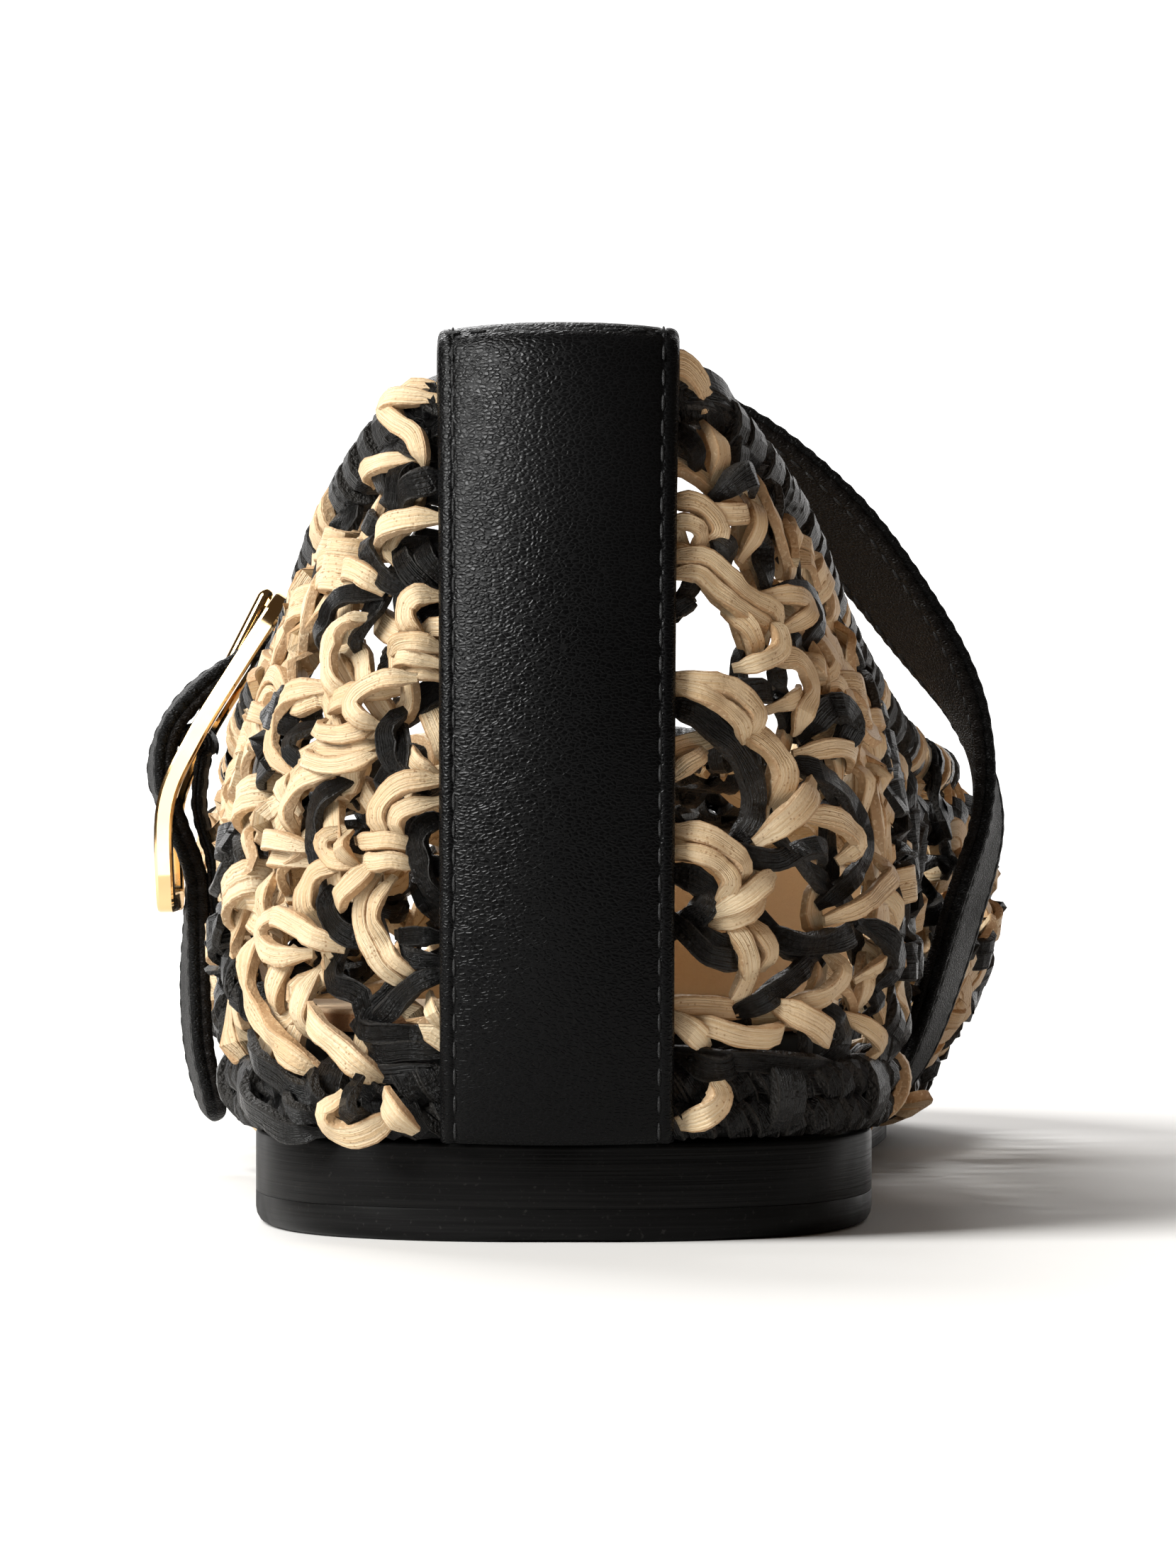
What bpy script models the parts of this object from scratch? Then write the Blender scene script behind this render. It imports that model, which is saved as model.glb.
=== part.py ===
"""Left ballet flat with a knotted leather net upper, a folded back strip and a buckled instep strap.

Sizes are in millimetres until a mesh is made. x runs across the shoe with the inner (medial) side positive,
y runs from heel to toe and z is up from the floor.
"""

import math
from collections import namedtuple

import bmesh
import bpy
import numpy as np

MM = 0.001

# Driving sizes
LENGTH = 250.0
BALL_WIDTH = 84.0
BACK_HEIGHT = 74.0
CLEARANCE = 0.3

# Sole
HEEL_SEAT = 8.6
BALL_SEAT = 3.8
TOE_SPRING = 5.0
LIFT_THICKNESS = 2.5
SOLE_THICKNESS = 3.5
SOLE_EDGE_ROUND = 0.5
HEEL_BREAST = 57.0
BREAST_SLOPE = 0.6
HEEL_RUN_END = 60.0
BALL_START = 136.0
BALL_END = 196.0
OUTSOLE_MARGIN = 0.2
INSIDE_MARGIN = -2.5
FOOTBED_HEEL = 19.3
FOOTBED_BALL = 8.6
FOOTBED_FALL_START = 38.0
FOOTBED_FALL_END = 168.0
INSOLE_THICKNESS = 1.9
SOLE_STATIONS = 36
SOLE_END_CUT = 0.02

# Net upper
WALL = 1.9
CROWN = 0.7
EDGE_ROUND = 0.2
STRAND_HALF = 2.2
NET_PITCH = 14.8
BASE_BAND = 5.0
TOP_BAND = 2.4
STRIP_BACKING = 0.55
BACKING_LEVELS = 8
KNOT_MERGE = 2.4
LARGEST_SHRINK = 0.7
RING_STEP = 0.05
RELAX_STEPS = 30
NET_COLUMNS = 521
NET_ROWS = 65

# Back strip
STRIP_WIDTH = 18.2
STRIP_LEATHER = 1.7
STRIP_COLUMNS = 7
STRIP_LEVELS = 9
STRIP_FOOT = 0.008
STRIP_FOLD_BASE = 0.4
STRIP_FOLD_STEPS = 6
STRIP_CORNER_DROP = 0.1
STRIP_INSIDE_END = 0.34
STRIP_INSIDE_ROOM = 1.0
STRIP_RISE_FROM = 0.97

# Instep strap, its tab and the buckle
STRAP_WIDTH = 11.0
STRAP_THICKNESS = 2.2
STRAP_STEPS = 4
TIP_SHARES = (1.0, 0.86, 0.45)
TAB_WIDTH = 10.0
TAB_THICKNESS = 1.0
BAR_THICKNESS = 1.5
END_BAR_HALF = 1.2
MIDDLE_BAR_HALF = 0.6
FRAME_SIDE_GAP = 0.9
FRAME_SIDE_BAR = 2.0
FACE_STEPS = 12
FACE_REACH = 0.5
WINDOW_STEPS = 4
TAB_LOOP_RADIUS = 1.75
PRONG_RADIUS = 0.8
PRONG_SIDES = 8
PRONG_TIP_SHARE = -0.02
PRONG_ROOT_OFF = 0.6

# Grid of the upper: steps between two ribs and steps up each rib
STEPS_PER_RIB = 20
RIB_STEPS = 80

# One rib of the upper, from the sole's edge to the topline. Belly and brow are the handles of its curve.
# The table is drawn for a shoe of the sizes below and is stretched to the driving sizes.
TABLE_LENGTH = 250.0
TABLE_BALL_WIDTH = 84.0
TABLE_BACK_HEIGHT = 74.0
Rib = namedtuple(
    "Rib",
    "place base_out base_along belly_out belly_along belly_up"
    " brow_out brow_along brow_up top_out top_along top_up",
)
RIBS = [
    Rib("heel centre", 0, 1.5, 0, -3.0, 24, 0, 0.5, 50, 0, 8.5, 74),
    Rib("heel inner corner", 14, 4.5, 16.5, 1.0, 24, 13, 4.0, 50, 9.3, 11, 73.2),
    Rib("heel inner side", 23, 14, 28, 11.5, 24, 22.5, 14, 49, 14.5, 17.5, 70.3),
    Rib("heel inner seat", 27, 32, 34, 30, 23, 27.5, 34, 46, 20, 34, 63),
    Rib("inner quarter", 26, 57, 33.5, 56, 22, 30, 60, 43, 24.5, 60, 54),
    Rib("inner waist", 23, 85, 32, 85, 18, 33.5, 90, 39, 30, 90, 46),
    Rib("inner strap", 23.5, 113, 33.5, 112, 14, 38, 116, 37, 34.5, 117, 42.5),
    Rib("inner joint", 29, 142, 42.5, 142, 13, 47, 141, 38, 36, 142, 41),
    Rib("inner ball", 32.5, 170, 45.5, 169, 13, 51, 162, 40, 29, 159, 41.5),
    Rib("inner toe joint", 33.5, 193, 45, 192, 12, 47, 180, 40, 19, 168.5, 42.5),
    Rib("big toe", 29.5, 218, 39.5, 221, 12.5, 37, 200, 39, 11, 172, 43),
    Rib("toe inner corner", 19, 237, 25, 244.5, 13.5, 22, 221, 38, 6, 173.5, 43.3),
    Rib("toe tip", 6, 243, 7, 250.5, 15, 7, 228, 38, 1.5, 174, 43.5),
    Rib("toe outer corner", -7.5, 238.5, -11, 246.5, 13.5, -8, 222, 38, -3, 173.5, 43.3),
    Rib("small toe", -20.5, 222.5, -29, 227, 12.5, -25, 204, 38, -8, 172, 43),
    Rib("outer toe joint", -28.5, 198, -39.5, 200, 12, -38, 186, 39, -15.5, 168.5, 42.5),
    Rib("outer ball", -31, 172, -43, 172, 12, -45, 165, 39, -25, 160, 41.5),
    Rib("outer joint", -30, 145, -40, 145, 13, -42, 144, 38, -33, 143, 41),
    Rib("outer strap", -26.5, 115, -34, 115, 15, -36, 118, 37, -32.5, 118, 42.5),
    Rib("outer waist", -24.5, 86, -33.5, 86, 19, -34, 91, 39, -30.5, 91, 46),
    Rib("outer quarter", -26, 57, -33.5, 56, 22, -30, 60, 43, -24.5, 60, 54),
    Rib("heel outer seat", -27, 32, -34, 30, 23, -27.5, 34, 46, -20, 34, 63),
    Rib("heel outer side", -23, 14, -28, 11.5, 24, -22.5, 14, 49, -14.5, 17.5, 70.3),
    Rib("heel outer corner", -14, 4.5, -16.5, 1.0, 24, -13, 4.0, 50, -9.3, 11, 73.2),
]

# Centre line of the strap from the inner edge of the sole over the instep towards the buckle.
# The strap's width lies along the shoe: its tilt, in degrees, turns it down towards the toe and its splay
# turns it outwards.
Place = namedtuple("Place", "place out along up tilt splay")
STRAP_ROUTE = [
    Place("tucked at the sole", 30.7, 126, 5.6, 0, 12),
    Place("over the feather edge", 35.0, 123.5, 12.5, 0, 14),
    Place("inner side", 39.0, 119, 25, 5, 14),
    Place("widest", 41.2, 114.5, 35.5, 15, 8),
    Place("leaving the net", 39.3, 111, 45, 25, 3),
    Place("rising", 33.6, 107.5, 54.6, 35, 0),
    Place("inner instep", 25.3, 104.5, 64.6, 40, 0),
    Place("near the top", 14.5, 102.5, 72.5, 40, 0),
    Place("top", 1.5, 101.5, 75.8, 38, 0),
    Place("outer instep", -10.5, 102.2, 73, 30, 0),
    Place("falling", -20.0, 104.2, 66, 15, 0),
]
# The buckle's bent face, seen from behind: from its upper bar to its lower bar
FramePoint = namedtuple("FramePoint", "place out up")
FRAME_FACE = [
    FramePoint("upper bar", -28.6, 56.2),
    FramePoint("upper window", -32.8, 49.7),
    FramePoint("middle bar", -36.9, 43.0),
    FramePoint("lower window", -39.7, 36.4),
    FramePoint("lower bar", -39.7, 27.0),
]
BUCKLE_ALONG = 107.0
# How far strap and tab stand off the buckle's face, at shares of the way from its upper bar to its lower bar
Thread = namedtuple("Thread", "share off")
STRAP_THREAD = [
    Thread(-0.08, -2.4),
    Thread(0.05, -2.4),
    Thread(0.20, 0.3),
    Thread(0.36, 3.2),
    Thread(0.50, 3.8),
    Thread(0.63, 2.3),
    Thread(0.76, -0.8),
    Thread(0.92, -2.5),
    Thread(1.06, -2.5),
]
TAB_THREAD = [
    Thread(1.0, -4.5),
    Thread(0.88, -4.4),
    Thread(0.76, -3.4),
    Thread(0.66, -2.6),
]
TAB_LOOP_ANGLES = [-60.0, -100.0, -140.0, 180.0, 140.0, 100.0, 70.0]
MIDDLE_BAR_SHARE = 0.5
# The loose end of the strap below the buckle
STRAP_END = [
    Place("below the buckle", -37.3, 107.6, 18.5, 0, 0),
    Place("hanging", -36.9, 108.4, 12, 0, 0),
    Place("tip", -35.3, 109.0, 5.2, 0, 0),
]
# The tab that carries the buckle, from the outer edge of the sole up to the lower bar
TAB_ROUTE = [
    Place("tucked at the sole", -29.6, 112.5, 6.6, 0, -8),
    Place("over the feather edge", -32.6, 111, 12.5, 0, -8),
    Place("outer side", -34.6, 109, 19.5, 0, -4),
]

# Colour, roughness and metal share of each part
Finish = namedtuple("Finish", "colour roughness metallic")
FINISHES = {
    "outsole": Finish((0.012, 0.011, 0.011), 0.55, 0.0),
    "heel_lift": Finish((0.018, 0.018, 0.018), 0.75, 0.0),
    "midsole": Finish((0.014, 0.013, 0.013), 0.8, 0.0),
    "insole": Finish((0.62, 0.42, 0.25), 0.6, 0.0),
    "upper": Finish((0.66, 0.43, 0.23), 0.55, 0.0),
    "back_strip": Finish((0.012, 0.012, 0.013), 0.42, 0.0),
    "instep_strap": Finish((0.014, 0.013, 0.013), 0.5, 0.0),
    "strap_tab": Finish((0.014, 0.013, 0.013), 0.5, 0.0),
    "buckle_frame": Finish((0.83, 0.56, 0.25), 0.2, 1.0),
    "buckle_prong": Finish((0.83, 0.56, 0.25), 0.2, 1.0),
}


def smooth_step(value, start, end):
    """0 before start, 1 after end, eased between them."""
    share = np.clip((np.asarray(value, float) - start) / (end - start), 0, 1)
    return share * share * (3 - 2 * share)


def through_points(points, steps, closed=False):
    """A smooth curve through the points, with so many steps between each two."""
    points = np.asarray(points, float)
    count = len(points)
    spans = count if closed else count - 1
    position = np.linspace(0, spans, spans * steps + 1)
    start = np.minimum(position.astype(int), spans - 1)
    share = (position - start)[:, None]
    if closed:
        before, here, after, beyond = (points[(start + k) % count] for k in (-1, 0, 1, 2))
    else:
        ends = np.vstack([2 * points[0] - points[1], points, 2 * points[-1] - points[-2]])
        before, here, after, beyond = (ends[start + k] for k in (0, 1, 2, 3))
    return 0.5 * (
        2 * here
        + (after - before) * share
        + (2 * before - 5 * here + 4 * after - beyond) * share**2
        + (3 * here - before - 3 * after + beyond) * share**3
    )


def toe_rise(along):
    """How far the toe spring lifts the sole."""
    return TOE_SPRING * np.clip((np.asarray(along, float) - BALL_END) / (LENGTH - BALL_END), 0, 1) ** 2


def sole_seat(along):
    """Height of the feather edge, where upper and sole meet."""
    fall = smooth_step(along, HEEL_RUN_END, BALL_START)
    return HEEL_SEAT + (BALL_SEAT - HEEL_SEAT) * fall + toe_rise(along)


def footbed(along):
    """Height of the insole's top face."""
    fall = smooth_step(along, FOOTBED_FALL_START, FOOTBED_FALL_END)
    return FOOTBED_HEEL + (FOOTBED_BALL - FOOTBED_HEEL) * fall + toe_rise(along)


class Upper:
    """The outer face of the last as a grid of points, its ribs running up from the sole's edge."""

    def __init__(self):
        self.ribs = len(RIBS)
        controls = through_points(self.control_points(), STEPS_PER_RIB, closed=True).reshape(-1, 4, 3)
        t = np.linspace(0, 1, RIB_STEPS + 1)[None, :, None]
        base, belly, brow, top = (controls[:, k][:, None, :] for k in range(4))
        curve = (1 - t) ** 3 * base + 3 * (1 - t) ** 2 * t * belly + 3 * (1 - t) * t**2 * brow + t**3 * top
        self.points, self.rib_length = self.evenly_spaced(curve)
        along_u = np.gradient(self.points, axis=0)
        along_u[0] = along_u[-1] = self.points[1] - self.points[-2]
        normal = np.cross(along_u, np.gradient(self.points, axis=1))
        self.normals = normal / np.linalg.norm(normal, axis=2, keepdims=True)

    @staticmethod
    def control_points():
        """Each rib's base, belly, brow and top point, stretched from the table's shoe to this one."""
        across = BALL_WIDTH / TABLE_BALL_WIDTH
        along = LENGTH / TABLE_LENGTH
        upward = BACK_HEIGHT / TABLE_BACK_HEIGHT
        rows = []
        for rib in RIBS:
            base = (rib.base_out * across, rib.base_along * along, float(sole_seat(rib.base_along * along)))
            belly = (rib.belly_out * across, rib.belly_along * along, rib.belly_up * upward)
            brow = (rib.brow_out * across, rib.brow_along * along, rib.brow_up * upward)
            top = (rib.top_out * across, rib.top_along * along, rib.top_up * upward)
            rows.append(base + belly + brow + top)
        return rows

    @staticmethod
    def evenly_spaced(curve):
        """Each rib with its points at even distances, and the ribs' lengths."""
        steps = np.linalg.norm(np.diff(curve, axis=1), axis=2)
        run = np.concatenate([np.zeros((len(curve), 1)), np.cumsum(steps, axis=1)], axis=1)
        share = np.linspace(0, 1, curve.shape[1])
        even = np.empty_like(curve)
        for k, (rib, length) in enumerate(zip(curve, run)):
            for axis in range(3):
                even[k, :, axis] = np.interp(share * length[-1], length, rib[:, axis])
        return even, run[:, -1]

    def sample(self, grid, u, v):
        """A grid's values at u, counted in ribs, and v, from 0 at the sole to 1 at the topline."""
        across = (np.asarray(u, float) % self.ribs) * STEPS_PER_RIB
        upward = np.clip(np.asarray(v, float), 0, 1) * RIB_STEPS
        i = np.minimum(across.astype(int), len(grid) - 2)
        j = np.minimum(upward.astype(int), RIB_STEPS - 1)
        a, b = (across - i)[..., None], (upward - j)[..., None]
        low = grid[i, j] * (1 - a) + grid[i + 1, j] * a
        high = grid[i, j + 1] * (1 - a) + grid[i + 1, j + 1] * a
        return low * (1 - b) + high * b

    def point(self, u, v, lift=0.0):
        """A point on the upper's face, lifted off it along its normal."""
        return self.sample(self.points, u, v) + self.sample(self.normals, u, v) * np.asarray(lift)[..., None]

    def length(self, u):
        """Length of the rib at u."""
        across = (np.asarray(u, float) % self.ribs) * STEPS_PER_RIB
        return np.interp(across, np.arange(len(self.rib_length)), self.rib_length)

    def net_v(self, u, w):
        """v of a height w in the net, which lies between the base band and the top band."""
        low = BASE_BAND / self.length(u)
        high = 1 - TOP_BAND / self.length(u)
        return low + (high - low) * w

    def heel_u(self, out, v):
        """u on the heel at a distance out from its centre line, at height v."""
        columns = np.arange(-2 * STEPS_PER_RIB, 2 * STEPS_PER_RIB + 1) / STEPS_PER_RIB
        across = self.sample(self.points, columns, np.full(len(columns), float(v)))[:, 0]
        return np.interp(out, across, columns)

    def outline(self, margin):
        """The sole's outline moved out by a margin: its inner and outer side as rows of along and out."""
        edge = self.points[:-1, 0, :2]
        run = np.roll(edge, -1, axis=0) - np.roll(edge, 1, axis=0)
        run /= np.linalg.norm(run, axis=1, keepdims=True)
        edge = edge + margin * np.column_stack([run[:, 1], -run[:, 0]])
        edge = np.roll(edge, -int(np.argmin(edge[:, 1])), axis=0)
        toe = int(np.argmax(edge[:, 1]))
        inner = edge[: toe + 1, ::-1]
        outer = np.vstack([edge[toe:], edge[:1]])[::-1, ::-1]
        return inner, outer


class Net:
    """Cells spread evenly over the upper, the knots where cells meet and each cell's ring of knots."""

    def __init__(self, upper):
        self.upper = upper
        self.first_u = STRIP_BACKING
        self.last_u = upper.ribs - STRIP_BACKING
        self.u = np.linspace(self.first_u, self.last_u, NET_COLUMNS)
        self.w = np.linspace(0, 1, NET_ROWS)
        grid_u, grid_w = np.meshgrid(self.u, self.w, indexing="ij")
        points = upper.point(grid_u, upper.net_v(grid_u, grid_w))
        self.seeds = self.spread_seeds(points)
        owner = self.nearest(points.reshape(-1, 3)).reshape(points.shape[:2])
        self.knots, self.owners = self.merge(self.meetings(owner))
        self.cells = [self.ring(cell) for cell in range(len(self.seeds))]

    def nearest(self, points):
        """The seed nearest to each point."""
        square = (points**2).sum(1)[:, None] + (self.seeds**2).sum(1)[None] - 2 * points @ self.seeds.T
        return square.argmin(1)

    def spread_seeds(self, points):
        """Seeds set far apart, then moved to the middle of their cells until they are even."""
        across = np.linalg.norm(np.gradient(points, axis=0), axis=2)
        upward = np.linalg.norm(np.gradient(points, axis=1), axis=2)
        area = (across * upward).ravel()
        flat = points.reshape(-1, 3)
        count = round(area.sum() / (NET_PITCH**2 * math.sqrt(3) / 2))
        seeds = [flat[0]]
        room = np.linalg.norm(flat - flat[0], axis=1)
        while len(seeds) < count:
            seeds.append(flat[room.argmax()])
            room = np.minimum(room, np.linalg.norm(flat - seeds[-1], axis=1))
        self.seeds = np.array(seeds)
        for _ in range(RELAX_STEPS):
            owner = self.nearest(flat)
            weight = np.bincount(owner, area, count)
            middle = [np.bincount(owner, area * flat[:, axis], count) / weight for axis in range(3)]
            self.seeds = np.column_stack(middle)
        return self.seeds

    def meetings(self, owner):
        """Places where three cells meet, or two cells meet an edge of the net, or a corner of the net."""
        found = []
        corners = np.stack([owner[:-1, :-1], owner[1:, :-1], owner[1:, 1:], owner[:-1, 1:]], axis=-1)
        kinds = (np.diff(np.sort(corners, axis=-1), axis=-1) != 0).sum(axis=-1) + 1
        middle_u = (self.u[1:] + self.u[:-1]) / 2
        middle_w = (self.w[1:] + self.w[:-1]) / 2
        for i, j in np.argwhere(kinds > 2):
            found.append((middle_u[i], middle_w[j], set(corners[i, j].tolist())))
        for j, w in ((0, 0.0), (-1, 1.0)):
            for i in np.flatnonzero(owner[1:, j] != owner[:-1, j]):
                found.append((middle_u[i], w, {int(owner[i, j]), int(owner[i + 1, j])}))
        for i, u in ((0, self.first_u), (-1, self.last_u)):
            for j in np.flatnonzero(owner[i, 1:] != owner[i, :-1]):
                found.append((u, middle_w[j], {int(owner[i, j]), int(owner[i, j + 1])}))
            for j, w in ((0, 0.0), (-1, 1.0)):
                found.append((u, w, {int(owner[i, j])}))
        return found

    def merge(self, meetings):
        """Meetings that lie close together made into one knot, kept on the net's edge if one of them is."""
        u = np.array([meeting[0] for meeting in meetings])
        w = np.array([meeting[1] for meeting in meetings])
        points = self.upper.point(u, self.upper.net_v(u, w))
        group = np.arange(len(meetings))
        close = np.linalg.norm(points[:, None] - points[None], axis=2) < KNOT_MERGE
        for a, b in np.argwhere(np.triu(close, 1)):
            group[group == group[b]] = group[a]
        knots, owners = [], []
        for name in sorted(set(group.tolist())):
            members = np.flatnonzero(group == name)
            owners.append(set().union(*(meetings[k][2] for k in members)))
            knots.append((self.edge_or_mean(u[members], self.u), self.edge_or_mean(w[members], self.w)))
        return knots, owners

    @staticmethod
    def edge_or_mean(values, scale):
        """The end of the scale that one of the values lies on, or their mean."""
        for end in (scale[0], scale[-1]):
            if np.any(values == end):
                return float(end)
        return float(values.mean())

    def point(self, knot, lift=0.0):
        """A knot's place, lifted off the upper's face."""
        u, w = self.knots[knot]
        return self.upper.point(u, self.upper.net_v(u, w), lift)

    def ring(self, cell):
        """A cell's knots in order, anticlockwise from outside, one more half way along an edge of the net."""
        ring = [knot for knot, owners in enumerate(self.owners) if cell in owners]
        points = np.array([self.point(knot) for knot in ring])
        u, w = np.mean([self.knots[knot] for knot in ring], axis=0)
        v = self.upper.net_v(u, w)
        right = self.upper.point(u + RING_STEP, v) - self.upper.point(u - RING_STEP, v)
        normal = self.upper.sample(self.upper.normals, u, v)
        over = np.cross(normal, right)
        from_middle = points - points.mean(axis=0)
        upward = from_middle @ over / np.linalg.norm(over)
        sideways = from_middle @ right / np.linalg.norm(right)
        angle = np.arctan2(upward, sideways)
        ring = [ring[k] for k in np.argsort(angle)]
        full = []
        for a, b in zip(ring, ring[1:] + ring[:1]):
            full.append(a)
            if self.knots[a][1] == self.knots[b][1] and self.knots[a][1] in (0.0, 1.0):
                self.knots.append(((self.knots[a][0] + self.knots[b][0]) / 2, self.knots[a][1]))
                self.owners.append(set())
                full.append(len(self.knots) - 1)
        return full

    def edge_knots(self, axis, value):
        """The knots along one edge of the net, in order."""
        found = [k for k, knot in enumerate(self.knots) if knot[axis] == value]
        return sorted(found, key=lambda k: self.knots[k][1 - axis])

    def opening_share(self, cell):
        """How far a cell's gap shrinks from its ring of knots, so that the strands keep their width."""
        points = np.array([self.point(knot) for knot in self.cells[cell]])
        middle = points.mean(axis=0)
        after = np.roll(points, -1, axis=0)
        reach = np.linalg.norm(np.cross(after - points, middle - points), axis=1)
        reach /= np.linalg.norm(after - points, axis=1)
        return min(LARGEST_SHRINK, STRAND_HALF / reach.mean())


class Shell:
    """Points and faces of a mesh that is put together piece by piece."""

    def __init__(self):
        self.points = []
        self.faces = []

    def add(self, point):
        self.points.append(np.asarray(point, float))
        return len(self.points) - 1

    def zip_sides(self, left, right, heights, flip):
        """Triangles between two rows of points that rise side by side."""
        i = j = 0
        while i < len(left) - 1 or j < len(right) - 1:
            rise_left = j == len(right) - 1
            if not rise_left and i < len(left) - 1:
                rise_left = heights[left[i + 1]] < heights[right[j + 1]]
            if rise_left:
                face = (left[i], right[j], left[i + 1])
                i += 1
            else:
                face = (left[i], right[j], right[j + 1])
                j += 1
            self.faces.append(face[::-1] if flip else face)


def net_upper(upper):
    """The net as one wall: raised strands round open gaps, a band at the sole, a rim and a heel backing."""
    net = Net(upper)
    shell = Shell()
    front = [shell.add(net.point(knot, CROWN)) for knot in range(len(net.knots))]
    back = [shell.add(net.point(knot, -WALL)) for knot in range(len(net.knots))]
    for cell, ring in enumerate(net.cells):
        places = np.array([net.knots[knot] for knot in ring])
        middle = places.mean(axis=0)
        places = middle + (places - middle) * (1 - net.opening_share(cell))
        gap_v = upper.net_v(places[:, 0], places[:, 1])
        gap_front = [shell.add(upper.point(u, v, 0.0)) for u, v in zip(places[:, 0], gap_v)]
        gap_back = [shell.add(upper.point(u, v, EDGE_ROUND - WALL)) for u, v in zip(places[:, 0], gap_v)]
        for a in range(len(ring)):
            b = (a + 1) % len(ring)
            shell.faces.append((front[ring[a]], front[ring[b]], gap_front[b], gap_front[a]))
            shell.faces.append((gap_front[a], gap_front[b], gap_back[b], gap_back[a]))
            shell.faces.append((gap_back[a], gap_back[b], back[ring[b]], back[ring[a]]))
    feet = edge_band(shell, net, front, back, 0.0)
    rims = edge_band(shell, net, front, back, 1.0)
    heel_backing(shell, net, front, back, feet, rims)
    return shell


def edge_band(shell, net, front, back, w):
    """The solid band below or above the net, and its end points in front and at the back."""
    row = net.edge_knots(1, w)
    outer, inner = {}, {}
    for knot in row:
        outer[knot] = shell.add(net.upper.point(net.knots[knot][0], w, EDGE_ROUND))
        inner[knot] = shell.add(net.upper.point(net.knots[knot][0], w, -WALL))
    for a, b in zip(row, row[1:]):
        if w == 0.0:
            shell.faces.append((outer[a], outer[b], front[b], front[a]))
            shell.faces.append((outer[b], outer[a], inner[a], inner[b]))
            shell.faces.append((back[a], back[b], inner[b], inner[a]))
        else:
            shell.faces.append((front[a], front[b], outer[b], outer[a]))
            shell.faces.append((outer[a], outer[b], inner[b], inner[a]))
            shell.faces.append((inner[a], inner[b], back[b], back[a]))
    return {u: (outer[knot], inner[knot]) for u, knot in ((net.first_u, row[0]), (net.last_u, row[-1]))}


def heel_backing(shell, net, front, back, feet, rims):
    """The closed wall under the back strip, from one side of the net round the heel to the other."""
    levels = np.linspace(0, 1, BACKING_LEVELS)
    middle_front = [shell.add(net.upper.point(0.0, v, CROWN)) for v in levels]
    middle_back = [shell.add(net.upper.point(0.0, v, -WALL)) for v in levels]
    sides = {}
    for u in (net.first_u, net.last_u):
        column = net.edge_knots(0, u)
        sides[u] = (
            [feet[u][0], *(front[k] for k in column), rims[u][0]],
            [feet[u][1], *(back[k] for k in column), rims[u][1]],
        )
    heights = [point[2] for point in shell.points]
    right_front, right_back = sides[net.first_u]
    left_front, left_back = sides[net.last_u]
    shell.zip_sides(left_front, middle_front, heights, False)
    shell.zip_sides(middle_front, right_front, heights, False)
    shell.zip_sides(left_back, middle_back, heights, True)
    shell.zip_sides(middle_back, right_back, heights, True)
    for a, b, c, d in (
        (left_front, middle_front, left_back, middle_back),
        (middle_front, right_front, middle_back, right_back),
    ):
        shell.faces.append((b[0], a[0], c[0], d[0]))
        shell.faces.append((a[-1], b[-1], d[-1], c[-1]))


def ribbon(front, back):
    """A closed solid between two grids of points of the same size."""
    shell = Shell()
    rows, columns = front.shape[:2]
    index = [[[shell.add(grid[k, m]) for m in range(columns)] for k in range(rows)] for grid in (front, back)]
    top, bottom = index
    for k in range(rows - 1):
        for m in range(columns - 1):
            shell.faces.append((top[k][m], top[k][m + 1], top[k + 1][m + 1], top[k + 1][m]))
            shell.faces.append((bottom[k + 1][m], bottom[k + 1][m + 1], bottom[k][m + 1], bottom[k][m]))
        for m, turn in ((0, 1), (columns - 1, -1)):
            side = (top[k][m], top[k + 1][m], bottom[k + 1][m], bottom[k][m])
            shell.faces.append(side[::turn])
    for m in range(columns - 1):
        for k, turn in ((0, 1), (rows - 1, -1)):
            end = (top[k][m + 1], top[k][m], bottom[k][m], bottom[k][m + 1])
            shell.faces.append(end[::turn])
    return shell


def sole_layer(upper, margin, top_height, bottom_height, end=None, extra=(), bottom_inset=0.0):
    """A layer of the sole inside one outline, between two heights that change along the shoe."""
    inner, outer = upper.outline(margin)
    heel = inner[0, 0]
    toe = inner[-1, 0] if end is None else end
    turn = math.pi if end is None else math.pi / 2
    last = 1.0 if end is not None else 1.0 - SOLE_END_CUT
    swing = np.linspace(SOLE_END_CUT, last, SOLE_STATIONS) * turn
    swing_share = (1 - np.cos(swing)) / (1 - math.cos(turn))
    along = np.sort(np.concatenate([heel + (toe - heel) * swing_share, extra]))
    grids = []
    for height, inset in ((top_height, 0.0), (bottom_height, bottom_inset)):
        left = np.interp(along, outer[:, 0], outer[:, 1]) + inset
        right = np.interp(along, inner[:, 0], inner[:, 1]) - inset
        up = height(along)
        sides = [np.column_stack([out, along, up]) for out in (left, right)]
        grids.append(np.stack(sides, axis=1))
    return ribbon(*grids)


def outsole_bottom(along):
    """Underside of the outsole: level over the heel's lift, then a waist that runs down to the ball."""
    waist = sole_seat(along) - CLEARANCE - SOLE_THICKNESS
    return np.where(along <= HEEL_BREAST, LIFT_THICKNESS + CLEARANCE, waist)


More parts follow.
